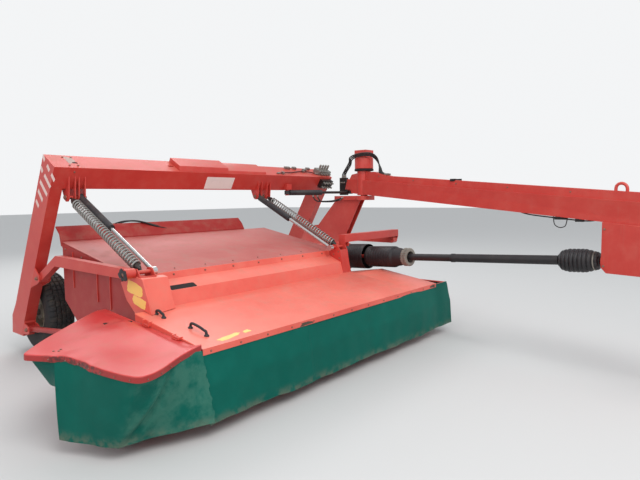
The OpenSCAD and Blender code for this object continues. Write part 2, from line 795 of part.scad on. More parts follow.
// Swing cylinder between the portal and the drawbar's tail.
swing_tip = on_bar(tail_s);
swing_len = norm([swing_tip[0] - swing_root[0], swing_tip[1] - swing_root[1]]);
swing_turn = atan2(swing_tip[1] - swing_root[1], swing_tip[0] - swing_root[0]);
swing_barrel_l = 470;
module swing_line() {
    translate([swing_root[0], swing_root[1], swing_z]) rotate([0, 0, swing_turn]) rotate([0, 90, 0]) children();
}
module swing_barrel() {
    color(black) placed() difference() {
        union() {
            swing_line() translate([0, 0, 30]) cylinder(r = 33, h = swing_barrel_l - 30, $fn = 48);
            translate([swing_root[0], swing_root[1], swing_z - 23]) cylinder(r = 34, h = 46, $fn = 48);
        }
        translate([swing_root[0], swing_root[1], swing_z - 50]) cylinder(r = pin_r + run_fit, h = 100, $fn = 48);
        swing_line() translate([0, 0, 60]) cylinder(r = rod_r + run_fit, h = swing_barrel_l, $fn = 48);
    }
}
module swing_rod() {
    color(steel) placed() {
        swing_line() translate([0, 0, swing_barrel_l - 200]) cylinder(r = rod_r, h = swing_len - swing_barrel_l + 180, $fn = 48);
        translate([swing_tip[0], swing_tip[1], swing_z - 20]) cylinder(r = 32, h = 43.5, $fn = 48);
    }
}

// Hitch: a yoke that swivels below the drawbar's nose, open in the middle for the drive shaft.
module hitch_yoke() {
    top = -bar_h - 10 - seat;
    low = link_pin_z - on_bar(hitch_s)[2];
    half = link_span / 2;
    cheek = 40;
    color(red) placed() bar_frame(hitch_s) {
        translate([0, 0, top]) cylinder(r = 35, h = -top + 10.5, $fn = 64);
        translate([0, 0, 10 + seat]) cylinder(r = 62, h = 22, $fn = 48);
        translate([-half, -yoke_d / 2, top - 100]) cube([link_span, yoke_d, 100]);
        for (x = [-half, half - cheek]) translate([x, -yoke_d / 2, low - 50]) cube([cheek, yoke_d, top - 40 - low]);
        for (side = [0, 180]) rotate(side) translate([half, 0, low]) rotate([0, 90, 0])
            cylinder(d = link_pin_d, h = link_pin_l, $fn = 64);
    }
}

// Parking stand: a tube on the drawbar's side with a sliding leg.
stand_side = bar_w / 2 + 62;
stand_tube_r = 38;
stand_leg_r = 30;
module stand_tube() {
    low = 620 - on_bar(stand_s)[2];
    high = 1380 - on_bar(stand_s)[2];
    color(red) placed() bar_frame(stand_s) difference() {
        union() {
            translate([stand_side, 0, low]) cylinder(r = stand_tube_r, h = high - low, $fn = 48);
            translate([bar_w / 2 + seat, -50, -bar_h + 10]) cube([30, 100, bar_h - 30]);
        }
        translate([stand_side, 0, low - 1]) cylinder(r = stand_leg_r + run_fit, h = high - low + 2, $fn = 48);
    }
}
module stand_leg() {
    base = -on_bar(stand_s)[2];
    color(steel) placed() bar_frame(stand_s) translate([stand_side, 0, base]) {
        cylinder(r = 100, h = 12, $fn = 48);
        translate([0, 0, 10]) cylinder(r = stand_leg_r, h = 940, $fn = 48);
    }
}

portal_beam();
beam_cap();
leg_left();
leg_right();
stub_axles();
hangers();
pivot_console();
pivot_post();
valve_block();
tyre_left();
rim_left();
tyre_right();
rim_right();
spring_left();
spring_right();
barrel_left();
barrel_right();
rod_left();
rod_right();
upper_links();
lower_links();
canopy();
hood();
rear_rail();
header_frame();
lift_brackets();
swath_plates();
cutterbar();
disc_1();
disc_2();
disc_3();
disc_4();
disc_5();
disc_6();
disc_7();
disc_8();
disc_9();
conditioner();
gearbox();
pto_shield();
curtain_rail();
front_curtain();
end_curtain();
side_cover();
side_curtain();
pto_cross();
pto_tube();
pto_slider();
pto_joint();
drawbar();
drawbar_boss();
pto_housing();
swing_barrel();
swing_rod();
hitch_yoke();
stand_tube();
stand_leg();
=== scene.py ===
"""Looks of a trailed disc mower conditioner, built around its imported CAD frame."""

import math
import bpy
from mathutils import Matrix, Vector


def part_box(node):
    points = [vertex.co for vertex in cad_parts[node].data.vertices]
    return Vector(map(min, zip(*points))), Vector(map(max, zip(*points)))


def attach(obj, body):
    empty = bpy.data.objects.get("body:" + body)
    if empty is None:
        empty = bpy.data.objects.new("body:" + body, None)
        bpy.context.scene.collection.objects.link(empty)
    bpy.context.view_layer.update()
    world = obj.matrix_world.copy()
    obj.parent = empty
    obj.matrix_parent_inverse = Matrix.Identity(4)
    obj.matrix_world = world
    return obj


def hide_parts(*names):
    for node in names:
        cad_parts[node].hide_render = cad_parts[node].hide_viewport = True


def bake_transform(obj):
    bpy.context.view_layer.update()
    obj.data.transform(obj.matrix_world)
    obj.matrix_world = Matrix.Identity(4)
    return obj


bl_info = {
    "name": "Disc mower conditioner",
    "version": (1, 0, 0),
    "blender": (4, 5, 0),
    "location": "View3D > Sidebar > Mower",
    "description": "Dresses the packed frame of a trailed disc mower conditioner",
    "category": "Object",
}

import bmesh
import bpy
import numpy as np
from bpy.props import FloatProperty, FloatVectorProperty, PointerProperty
from mathutils import Matrix, Vector

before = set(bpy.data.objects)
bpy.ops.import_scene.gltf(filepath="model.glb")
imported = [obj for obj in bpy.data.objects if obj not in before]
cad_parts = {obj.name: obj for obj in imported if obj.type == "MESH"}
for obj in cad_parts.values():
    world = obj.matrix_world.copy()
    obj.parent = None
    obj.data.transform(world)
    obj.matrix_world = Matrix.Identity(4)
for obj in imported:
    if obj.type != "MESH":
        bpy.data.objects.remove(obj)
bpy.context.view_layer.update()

# Sizes below are in millimetres in the machine's own frame: X to its left, Y to its rear, Z up,
# from the corner under the outer front corner of the canopy. ORIGIN is the model's origin in it.
ORIGIN = np.array(
    [100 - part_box("hood")[0].x * 1000, -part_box("canopy")[0].y * 1000, 0.0]
)

BEAM_FRONT, BEAM_TOP, LEAN = 1840.0, 1715.0, math.radians(30)
LEFT_X, RIGHT_X = -20.0, 3570.0
LIP_Z = 546.0
CANOPY_LEN, HOOD_END = 2970.0, 2500.0
CREASE, BAND, STEP_FOOT, STEP_TOP = (750, 662), (780, 772), (930, 835), (945, 888)
HOOD_REAR = (2050, 1092)
PIN = (860.0, 925.0)
HANG = (1840 + 114 * math.cos(LEAN), 1470.0)
PIVOT, BAR_Z = (3500.0, 1270.0), 1660.0
YAW, FALL = math.radians(15), math.radians(4.9)
BAR_W = 140.0
COVER_TILT = math.radians(5)
WHEEL_X = (105.0, 3205.0)
AXLE = (2742.4, 380.0)
J_REAR, J_FRONT = np.array([3000.0, 780.0, 775.0]), np.array([2727.43, -1613.29, 914.10])
CAMERA_AT = (-1869.0, -2484.0, 1439.0)


def mm(points):
    """Machine frame in millimetres to model frame in metres."""
    return (np.asarray(points, float) - ORIGIN) / 1000


def on_bar(s, side=0.0, up=0.0):
    """The point at distance s along the drawbar's top edge, moved sideways and up."""
    return np.array([
        PIVOT[0] - s * math.sin(YAW) + side * math.cos(YAW),
        PIVOT[1] - s * math.cos(YAW) - side * math.sin(YAW),
        BAR_Z - s * math.tan(FALL) + up,
    ])


def on_portal(x, across, up):
    """A point in the portal's leaning plane: across runs to the rear, up along the legs."""
    return np.array([
        x,
        BEAM_FRONT + across * math.cos(LEAN) - up * math.sin(LEAN),
        BEAM_TOP + across * math.sin(LEAN) + up * math.cos(LEAN),
    ])


ACROSS = on_portal(0, 1, 0) - on_portal(0, 0, 0)
HIGH = on_portal(0, 0, 1) - on_portal(0, 0, 0)


def canopy_z(y):
    """Height of the canopy's top at a distance y behind its lip."""
    ys = [0, CREASE[0], BAND[0], STEP_FOOT[0], STEP_TOP[0], HOOD_REAR[0]]
    zs = [LIP_Z, CREASE[1], BAND[1], STEP_FOOT[1], STEP_TOP[1], HOOD_REAR[1]]
    return np.interp(y, ys, zs)


def in_cover(x, y, z=0.0):
    """A point of the side cover's tilted plane in the machine frame."""
    x, y, z = np.broadcast_arrays(np.asarray(x, float), y, z)
    c, s = math.cos(COVER_TILT), math.sin(COVER_TILT)
    return np.stack([x, y * c - z * s, LIP_Z + y * s + z * c], -1)


# Meshes


def finish_mesh(name, mesh, material, body, angle=35.0):
    """Names, smooths, paints and seats a new mesh on a body."""
    mesh.polygons.foreach_set("use_smooth", np.ones(len(mesh.polygons), bool))
    mesh.set_sharp_from_angle(angle=math.radians(angle))
    mesh.materials.clear()
    mesh.materials.append(material)
    obj = bpy.data.objects.new(name, mesh)
    bpy.context.scene.collection.objects.link(obj)
    if body:
        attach(obj, body)
    return obj


class Batch:
    """Vertices and faces of many like solids, gathered as arrays and made one mesh."""

    def __init__(self):
        self.verts, self.faces, self.count = [], [], 0

    def add(self, verts, faces):
        verts = np.asarray(verts, float).reshape(-1, 3)
        self.verts.append(verts)
        self.faces.extend([list(np.asarray(f) + self.count) for f in faces])
        self.count += len(verts)

    def make(self, name, material, body, slot, angle=35.0):
        mesh = bpy.data.meshes.new(name)
        mesh.from_pydata(mm(np.concatenate(self.verts)).tolist(), [], self.faces)
        mesh.update()
        return finish_mesh(name, mesh, material, body, angle)


def grid_faces(nu, nv, wrap_u=False, wrap_v=False):
    """Quads of a grid of nu by nv points, row by row, closed round where wrapped."""
    i, j = np.meshgrid(
        np.arange(nu if wrap_u else nu - 1), np.arange(nv if wrap_v else nv - 1), indexing="ij"
    )
    i2, j2 = (i + 1) % nu, (j + 1) % nv
    return np.stack([i * nv + j, i2 * nv + j, i2 * nv + j2, i * nv + j2], -1).reshape(-1, 4)


def prism_faces(n):
    """Faces of a prism whose ring of n points is followed by the ring's copy."""
    sides = [[k, k + n, (k + 1) % n + n, (k + 1) % n] for k in range(n)]
    return [list(range(n)), list(range(n, 2 * n))[::-1], *sides]


def arc_length(line):
    """Distance of each point of a line from its start, along the line."""
    return np.concatenate([[0], np.cumsum(np.linalg.norm(np.diff(line, axis=0), axis=1))])


def surface(name, points, material, body, angle):
    """A mesh from a grid of points P(u, v) that closes on itself both ways."""
    mesh = bpy.data.meshes.new(name)
    faces = grid_faces(*points.shape[:2], True, True)
    mesh.from_pydata(mm(points.reshape(-1, 3)).tolist(), [], faces.tolist())
    mesh.update()
    return finish_mesh(name, mesh, material, body, angle)


def shell(name, points, thickness, material, body, uv=None, angle=40.0):
    """A closed sheet between a grid P(u, v) and P - t N, N its unit normal, joined round its border."""
    nu, nv = points.shape[:2]
    du, dv = np.gradient(points, axis=0), np.gradient(points, axis=1)
    normal = np.cross(du, dv)
    normal /= np.maximum(np.linalg.norm(normal, axis=2), 1e-9)[..., None]
    count = nu * nv
    top = grid_faces(nu, nv)
    i, j = np.arange(nu - 1), np.arange(nv - 1)
    last = (nu - 1) * nv
    borders = (
        (i * nv, (i + 1) * nv), ((i + 2) * nv - 1, (i + 1) * nv - 1), (j + 1, j), (last + j, last + j + 1),
    )
    rim = [np.stack([a, a + count, b + count, b], -1) for a, b in borders]
    faces = np.concatenate([top, top[:, ::-1] + count] + rim)
    if uv is None:
        u, v = arc_length(points[:, nv // 2]), arc_length(points[nu // 2])
        uv = np.stack(np.meshgrid(u, v, indexing="ij"), -1) / 1000
    sheet = np.concatenate([points.reshape(-1, 3), (points - thickness * normal).reshape(-1, 3)])
    mesh = bpy.data.meshes.new(name)
    mesh.from_pydata(mm(sheet).tolist(), [], faces.tolist())
    layer = mesh.uv_layers.new(name="UVMap")
    index = np.zeros(len(mesh.loops), np.int32)
    mesh.loops.foreach_get("vertex_index", index)
    both = np.concatenate([uv.reshape(-1, 2)] * 2)
    layer.data.foreach_set("uv", both[index].astype(np.float32).ravel())
    mesh.update()
    return finish_mesh(name, mesh, material, body, angle)


def basis(axis, up=(0, 0, 1)):
    """Three unit vectors, the last along axis, as the rows of a matrix."""
    w = np.asarray(axis, float) / np.linalg.norm(axis)
    u = np.cross(up, w)
    if np.linalg.norm(u) < 1e-6:
        u = np.cross((0, 1, 0), w)
    u /= np.linalg.norm(u)
    return np.array([u, np.cross(w, u), w])


def turned(profile, at, axis, sides):
    """Points of a profile (radius, height) turned about an axis: P = at + r (cos a u + sin a v) + h w."""
    u, v, w = basis(axis)
    a = np.linspace(0, 2 * math.pi, sides, endpoint=False)
    r, h = np.asarray(profile, float).T
    ring = np.cos(a)[:, None] * u + np.sin(a)[:, None] * v
    return np.asarray(at, float) + r[None, :, None] * ring[:, None] + h[None, :, None] * w


def add_turned(batch, profile, at, axis, sides):
    """Adds a turned solid whose profile starts and ends on its axis or is capped there."""
    points = turned(profile, at, axis, sides)
    nv = points.shape[1]
    faces = [list(f) for f in grid_faces(sides, nv, True)]
    if profile[0][0] > 1e-6:
        faces.append([k * nv for k in range(sides)][::-1])
    if profile[-1][0] > 1e-6:
        faces.append([k * nv + nv - 1 for k in range(sides)])
    batch.add(points, faces)


def add_bolt(batch, at, axis, size=10.0, nut=False):
    """A washer and a hexagon head, or a nut with its stud's end."""
    add_turned(batch, [(size * 1.05, -1), (size * 1.05, 2), (size * 0.5, 2.4)], at, axis, 16)
    top = size * 0.72
    at = np.asarray(at, float)
    add_turned(batch, [(size * 0.92, 1), (size * 0.92, top), (size * 0.78, top + 1.4)], at, axis, 6)
    if nut:
        add_turned(batch, [(size * 0.48, top), (size * 0.48, top + 6), (size * 0.4, top + 7)], at, axis, 12)


def add_box(batch, at, size, axes=None):
    """A box with its middle at a point and its sides along the rows of axes."""
    axes = np.eye(3) if axes is None else np.asarray(axes, float)
    k = np.array([[x, y, z] for x in (-0.5, 0.5) for y in (-0.5, 0.5) for z in (-0.5, 0.5)])
    corners = np.asarray(at, float) + (k * np.asarray(size, float)) @ axes
    batch.add(corners, [(0, 1, 3, 2), (4, 6, 7, 5), (0, 4, 5, 1), (2, 3, 7, 6), (0, 2, 6, 4), (1, 5, 7, 3)])


def spline(points, count):
    """Catmull-Rom curve through points, at count even steps of arc length."""
    p = np.asarray(points, float)
    q = np.concatenate([[2 * p[0] - p[1]], p, [2 * p[-1] - p[-2]]])
    t = np.linspace(0, len(p) - 1, 40 * (len(p) - 1) + 1)
    k = np.minimum(t.astype(int), len(p) - 2)
    f = (t - k)[:, None]
    a, b, c, d = q[k], q[k + 1], q[k + 2], q[k + 3]
    square, cube = 2 * a - 5 * b + 4 * c - d, 3 * b - a - 3 * c + d
    line = 0.5 * (2 * b + (c - a) * f + square * f**2 + cube * f**3)
    s = arc_length(line)
    even = np.linspace(0, s[-1], count)
    return np.stack([np.interp(even, s, line[:, m]) for m in range(3)], -1)


def tube_points(line, radius, sides=12, up=(0.13, 0.21, 0.97)):
    """A round tube along a line: P = C(s) + r (cos a n + sin a b), n and b square to its tangent."""
    tangent = np.gradient(line, axis=0)
    tangent /= np.linalg.norm(tangent, axis=1)[:, None]
    n = np.cross(tangent, up)
    n /= np.linalg.norm(n, axis=1)[:, None]
    b = np.cross(tangent, n)
    a = np.linspace(0, 2 * math.pi, sides, endpoint=False)
    r = np.broadcast_to(radius, len(line))[:, None, None]
    cos, sin = np.cos(a)[None, :, None], np.sin(a)[None, :, None]
    return line[:, None] + r * (cos * n[:, None] + sin * b[:, None])


def add_tube(batch, line, radius, sides=12, up=(0.13, 0.21, 0.97)):
    """Adds a round tube with flat ends."""
    points = tube_points(line, radius, sides, up)
    n = len(line)
    faces = [list(f[::-1]) for f in grid_faces(n, sides, False, True)]
    faces.append(list(range(sides))[::-1])
    faces.append([(n - 1) * sides + k for k in range(sides)])
    batch.add(points, faces)


def dress(node, material, body, width):
    """A copy of a CAD node with rounded corners, which stands for the node."""
    angle = 32.0
    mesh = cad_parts[node].data.copy()
    bm = bmesh.new()
    bm.from_mesh(mesh)
    bmesh.ops.remove_doubles(bm, verts=bm.verts, dist=2e-5)
    bmesh.ops.dissolve_limit(bm, angle_limit=math.radians(1.0), verts=bm.verts, edges=bm.edges)
    bm.to_mesh(mesh)
    bm.free()
    obj = finish_mesh(node + "_skin", mesh, material, body, angle)
    bevel = obj.modifiers.new("Bevel", "BEVEL")
    bevel.width, bevel.segments = width / 1000, 2
    bevel.limit_method, bevel.angle_limit = "ANGLE", math.radians(angle)
    bevel.harden_normals = True
    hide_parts(node)
    return obj


# Materials


def srgb(r, g, b):
    """A colour from 0 to 255 as the shader's linear one."""
    c = np.array([r, g, b]) / 255
    c = np.where(c <= 0.04045, c / 12.92, ((c + 0.055) / 1.055) ** 2.4)
    return (*c.tolist(), 1.0)


class Nodes:
    """Short hand for making and joining shader nodes."""

    def __init__(self, tree):
        self.tree = tree

    def add(self, kind, inputs=None, **settings):
        node = self.tree.nodes.new("ShaderNode" + kind)
        for key, value in settings.items():
            setattr(node, key, value)
        for key, value in (inputs or {}).items():
            if isinstance(value, bpy.types.NodeSocket):
                self.tree.links.new(value, node.inputs[key])
            else:
                node.inputs[key].default_value = value
        return node

    def math(self, operation, a, b, clamp=False):
        return self.add("Math", {0: a, 1: b}, operation=operation, use_clamp=clamp).outputs[0]

    def mix(self, factor, a, b):
        node = self.add("Mix", data_type="RGBA")
        for key, value in (("Factor_Float", factor), ("A_Color", a), ("B_Color", b)):
            socket = next(s for s in node.inputs if s.identifier == key)
            if isinstance(value, bpy.types.NodeSocket):
                self.tree.links.new(value, socket)
            else:
                socket.default_value = value
        return next(s for s in node.outputs if s.identifier == "Result_Color")

    def ramp(self, value, low, high):
        inputs = {0: value, 1: low, 2: high}
        return self.add("MapRange", inputs, interpolation_type="SMOOTHSTEP").outputs[0]

    def noise(self, vector, scale, detail=3.0, rough=0.55):
        return self.add(
            "TexNoise", {"Vector": vector, "Scale": scale, "Detail": detail, "Roughness": rough}
        ).outputs[0]


def new_group(name, inputs, outputs):
    tree = bpy.data.node_groups.new(name, "ShaderNodeTree")
    for socket, kind, value in inputs:
        made = tree.interface.new_socket(socket, in_out="INPUT", socket_type=kind)
        if value is not None:
            made.default_value = value
    for socket, kind in outputs:
        tree.interface.new_socket(socket, in_out="OUTPUT", socket_type=kind)
    return tree, Nodes(tree), tree.nodes.new("NodeGroupInput"), tree.nodes.new("NodeGroupOutput")


def weather_and_toplight_group():
    """Fade, dust, streaks and chips on paint: fade and dust grow where a face looks up, and there the fade is also
    painted top light, a lighter colour on upward faces.
    """
    tree, n, src, out = new_group(
        "Weathering and painted top light",
        [
            ("Vector", "NodeSocketVector", None),
            ("Paint", "NodeSocketColor", (0.5, 0.05, 0.04, 1)),
            ("Faded and lit", "NodeSocketColor", (0.7, 0.2, 0.15, 1)),
            ("Dust", "NodeSocketColor", (0.45, 0.38, 0.3, 1)),
            ("Bare", "NodeSocketColor", (0.06, 0.03, 0.02, 1)),
            ("Fade", "NodeSocketFloat", 0.5),
            ("Dust amount", "NodeSocketFloat", 0.3),
            ("Chips", "NodeSocketFloat", 0.3),
            ("Gloss", "NodeSocketFloat", 0.4),
        ],
        [("Color", "NodeSocketColor"), ("Roughness", "NodeSocketFloat"), ("Height", "NodeSocketFloat")],
    )
    s = src.outputs
    normal = n.add("NewGeometry").outputs["Normal"]
    up = n.add("SeparateXYZ", {0: normal}).outputs[2]
    up = n.ramp(up, -0.1, 0.95)
    broad = n.noise(s["Vector"], 1.7, 4.0)
    cloud = n.noise(s["Vector"], 9.0, 5.0, 0.6)
    fine = n.noise(s["Vector"], 120.0, 4.0, 0.65)
    stretched = n.add("Mapping", {"Vector": s["Vector"], "Scale": (14.0, 14.0, 1.2)}).outputs[0]
    streak = n.noise(stretched, 3.0, 4.0, 0.6)
    patches = n.math("MULTIPLY", n.ramp(broad, 0.35, 0.7), 0.35)
    # On upward faces the paint turns to its lighter second colour: partly real fading, partly painted top light.
    fade_and_toplight = n.math("ADD", n.math("MULTIPLY", up, 0.75), patches)
    fade_and_toplight = n.math("MULTIPLY", s["Fade"], fade_and_toplight, clamp=True)
    colour = n.mix(fade_and_toplight, s["Paint"], s["Faded and lit"])
    tone = n.math("ADD", 0.86, n.math("MULTIPLY", cloud, 0.28))
    colour = n.add("VectorMath", {0: colour, 3: tone}, operation="SCALE").outputs[0]
    grime = n.math("MULTIPLY", n.ramp(cloud, 0.42, 0.72), n.math("ADD", 0.35, n.math("MULTIPLY", up, 0.65)))
    grime = n.math("ADD", grime, n.math("MULTIPLY", n.ramp(streak, 0.56, 0.78), 0.35))
    grime = n.math("MULTIPLY", s["Dust amount"], grime, clamp=True)
    colour = n.mix(grime, colour, s["Dust"])
    limit = n.math("SUBTRACT", 0.86, n.math("MULTIPLY", s["Chips"], 0.2))
    coarse = n.math("MULTIPLY", n.noise(s["Vector"], 38.0, 6.0, 0.7), 0.75)
    spots = n.math("ADD", coarse, n.math("MULTIPLY", fine, 0.25))
    chip = n.math("MULTIPLY", n.ramp(spots, limit, n.math("ADD", limit, 0.03)), 0.9)
    colour = n.mix(chip, colour, s["Bare"])
    rough = n.math("ADD", s["Gloss"], n.math("MULTIPLY", grime, 0.35))
    rough = n.math("ADD", rough, n.math("MULTIPLY", n.math("SUBTRACT", fine, 0.5), 0.12), clamp=True)
    height = n.math("SUBTRACT", n.math("MULTIPLY", fine, 0.25), chip)
    for key, value in (("Color", colour), ("Roughness", rough), ("Height", height)):
        tree.links.new(value, out.inputs[key])
    return tree


BARE = srgb(70, 52, 44)


def painted(name, group, paint, faded_and_lit, dust, fade_and_toplight, dust_amount, chips, gloss, metallic=0.0, bump=0.12):
    """A material whose colour, roughness and bump come from the weathered finish, with its painted top light on
    upward faces.
    """
    material = bpy.data.materials.new(name)
    material.use_nodes = True
    tree = material.node_tree
    tree.nodes.clear()
    n = Nodes(tree)
    where = n.add("TexCoord").outputs["Object"]
    weather = n.add("Group", node_tree=group)
    tree.links.new(where, weather.inputs["Vector"])
    for key, value in (("Paint", paint), ("Faded and lit", faded_and_lit), ("Dust", dust), ("Bare", BARE),
                       ("Fade", fade_and_toplight), ("Dust amount", dust_amount), ("Chips", chips), ("Gloss", gloss)):
        weather.inputs[key].default_value = value
    relief = n.add("Bump", {"Strength": bump, "Distance": 0.002, "Height": weather.outputs["Height"]})
    shader = n.add("BsdfPrincipled", {
        "Base Color": weather.outputs["Color"], "Roughness": weather.outputs["Roughness"],
        "Metallic": metallic, "Normal": relief.outputs[0],
    })
    n.add("OutputMaterial", {"Surface": shader.outputs[0]})
    return material


def cloth_material(name, group, base, faded_and_lit_cloth, dust_amount=0.5):
    """Coated cloth: the weathered colour with a fine plain weave in the bump, along the piece's UV."""
    material = painted(name, group, base, faded_and_lit_cloth, srgb(34, 112, 98), 0.3, dust_amount, 0.05, 0.5, bump=0.0)
    tree = material.node_tree
    n = Nodes(tree)
    uv = n.add("TexCoord").outputs["UV"]
    weave = []
    for turn in (0.0, math.pi / 2):
        along = n.add("Mapping", {"Vector": uv, "Rotation": (0, 0, turn)}).outputs[0]
        weave.append(n.add("TexWave", {"Vector": along, "Scale": 160.0, "Distortion": 0.2}).outputs[1])
    thread = n.math("MULTIPLY", weave[0], weave[1])
    shader = next(x for x in tree.nodes if x.type == "BSDF_PRINCIPLED")
    shader.inputs["Specular IOR Level"].default_value = 0.12
    relief = n.add("Bump", {"Strength": 0.35, "Distance": 0.0008, "Height": thread})
    tree.links.new(relief.outputs[0], shader.inputs["Normal"])
    return material


def edge_wear_and_shade(material, colour, span, amount, scale, along=None):
    """Mixes a colour in where the piece's UV v passes from one end of span to the other.

    It comes in uneven spots or, with scale 0, evenly. A negative amount works where v is below the span;
    along gives where in u it starts, is full, and ends again.
    """
    tree = material.node_tree
    n = Nodes(tree)
    where = n.add("TexCoord")
    uv = n.add("SeparateXYZ", {0: where.outputs["UV"]}).outputs
    low, high = span if amount > 0 else span[::-1]
    mask = n.ramp(uv[1], low, high)
    spots = n.ramp(n.noise(where.outputs["Object"], scale, 5.0, 0.65), 0.38, 0.6) if scale else 1.0
    factor = n.math("MULTIPLY", n.math("MULTIPLY", mask, spots), abs(amount))
    if along:
        factor = n.math("MULTIPLY", factor, n.ramp(uv[0], *along[:2]))
        if len(along) > 2:
            factor = n.math("MULTIPLY", factor, n.math("SUBTRACT", 1.0, n.ramp(uv[0], *along[2:])))
    shader = next(x for x in tree.nodes if x.type == "BSDF_PRINCIPLED")
    before = shader.inputs["Base Color"].links[0].from_socket
    tree.links.new(n.mix(factor, before, colour), shader.inputs["Base Color"])


MAT = {}


def make_materials():
    """Every finish of the machine, by the name that the pieces use."""
    group = weather_and_toplight_group()
    dust, rust = srgb(150, 132, 112), srgb(92, 60, 44)
    red, faded_and_lit = srgb(196, 58, 50), srgb(222, 94, 80)
    # In each row the second colour, mixed in on upward faces, is partly painted top light.
    table = {
        "red": (red, faded_and_lit, dust, 0.55, 0.28, 0.35, 0.4),
        # The darker red is the red paint as it looks on faces turned from the light: painted shade.
        "shaded_red": (srgb(160, 34, 32), srgb(178, 56, 50), dust, 0.4, 0.28, 0.5, 0.5),
        "canopy": (srgb(220, 84, 70), srgb(248, 130, 112), dust, 0.9, 0.25, 0.35, 0.38),
        "cover": (srgb(188, 42, 42), srgb(214, 66, 64), dust, 0.8, 0.2, 0.4, 0.35),
        "hood": (srgb(170, 54, 48), srgb(192, 98, 90), srgb(176, 136, 126), 0.9, 0.5, 0.45, 0.55),
        "black": (srgb(34, 34, 37), srgb(64, 63, 66), srgb(110, 100, 90), 0.5, 0.3, 0.1, 0.5),
        "hose": (srgb(24, 24, 26), srgb(50, 49, 50), srgb(96, 88, 80), 0.3, 0.35, 0.05, 0.6),
        "tyre": (srgb(32, 32, 34), srgb(58, 56, 54), srgb(112, 100, 84), 0.4, 0.5, 0.05, 0.75),
        "rim": (srgb(176, 168, 150), srgb(196, 190, 176), dust, 0.5, 0.5, 0.6, 0.5),
        "label": (srgb(236, 234, 228), srgb(246, 244, 240), dust, 0.5, 0.2, 0.2, 0.45),
        "yellow": (srgb(252, 210, 104), srgb(255, 224, 146), srgb(232, 132, 110), 0.5, 0.3, 0.4, 0.5),
        "stripe": (srgb(226, 196, 188), srgb(240, 214, 206), srgb(206, 110, 98), 0.5, 0.5, 0.6, 0.5),
        "dark": (srgb(20, 18, 18), srgb(30, 27, 26), srgb(60, 50, 44), 0.3, 0.3, 0.1, 0.8),
        "rubber": (srgb(28, 26, 29), srgb(46, 43, 46), srgb(84, 76, 70), 0.5, 0.25, 0.08, 0.52),
        "red_hose": (srgb(96, 26, 26), srgb(120, 60, 56), srgb(110, 90, 80), 0.4, 0.4, 0.2, 0.55),
        "pale": (srgb(136, 130, 120), srgb(154, 148, 138), srgb(66, 58, 52), 0.5, 0.8, 0.4, 0.55),
        "scuff": (srgb(176, 150, 140), srgb(200, 176, 166), srgb(150, 110, 98), 0.5, 0.5, 0.5, 0.6),
    }
    for name, (a, b, c, fade_and_toplight, amount, chips, gloss) in table.items():
        MAT[name] = painted(name, group, a, b, c, fade_and_toplight, amount, chips, gloss)
    metals = {
        "steel": (srgb(150, 148, 142), srgb(170, 166, 160), rust, 0.4, 0.45, 0.3, 0.45, 0.75),
        "bolt": (srgb(150, 110, 96), srgb(168, 140, 126), rust, 0.4, 0.6, 0.4, 0.5, 0.6),
        "spring": (srgb(158, 160, 156), srgb(176, 176, 168), rust, 0.3, 0.15, 0.1, 0.36, 0.7),
        "chrome": (srgb(214, 214, 212), srgb(224, 222, 218), rust, 0.2, 0.08, 0.02, 0.16, 0.95),
        "oiled": (srgb(46, 44, 44), srgb(66, 62, 60), rust, 0.3, 0.3, 0.1, 0.4, 0.5),
        "worn": (srgb(92, 82, 72), srgb(120, 108, 94), rust, 0.5, 0.6, 0.4, 0.6, 0.55),
    }
    for name, (a, b, c, fade_and_toplight, amount, chips, gloss, metallic) in metals.items():
        MAT[name] = painted(name, group, a, b, c, fade_and_toplight, amount, chips, gloss, metallic)
    # The plain cloth is a darker copy of the curtains' cloth, for the curtains behind the cover's tip and at the
    # canopy's inner end: painted shade.
    MAT["cloth"] = cloth_material("cloth", group, srgb(0, 78, 68), srgb(14, 112, 98), 0.15)
    for name, amount in (("cloth_front", 0.18), ("cloth_side", 0.25)):
        MAT[name] = cloth_material(name, group, srgb(0, 88, 76), srgb(4, 118, 102), amount)
        edge_wear_and_shade(MAT[name], srgb(116, 116, 98), (0.37, 0.46), 0.6, 14.0)
    # The side curtain lighter in broad spots from u 0.48 on, towards its fore end.
    edge_wear_and_shade(MAT["cloth_side"], srgb(92, 138, 120), (-0.1, 0.0), 0.35, 5.0, (0.48, 0.62))
    # The rim's downturned side evenly darker red: painted shade on the face turned from the light.
    edge_wear_and_shade(MAT["cover"], srgb(146, 34, 32), (0.005, 0.012), 0.75, 0.0)
    edge_wear_and_shade(MAT["cover"], srgb(64, 30, 26), (-0.002, 0.012), 0.9, 45.0, (0.66, 0.84, 1.12, 1.2))
    edge_wear_and_shade(MAT["cover"], srgb(226, 112, 98), (-0.9, -0.2), -0.5, 3.0)


# Pieces


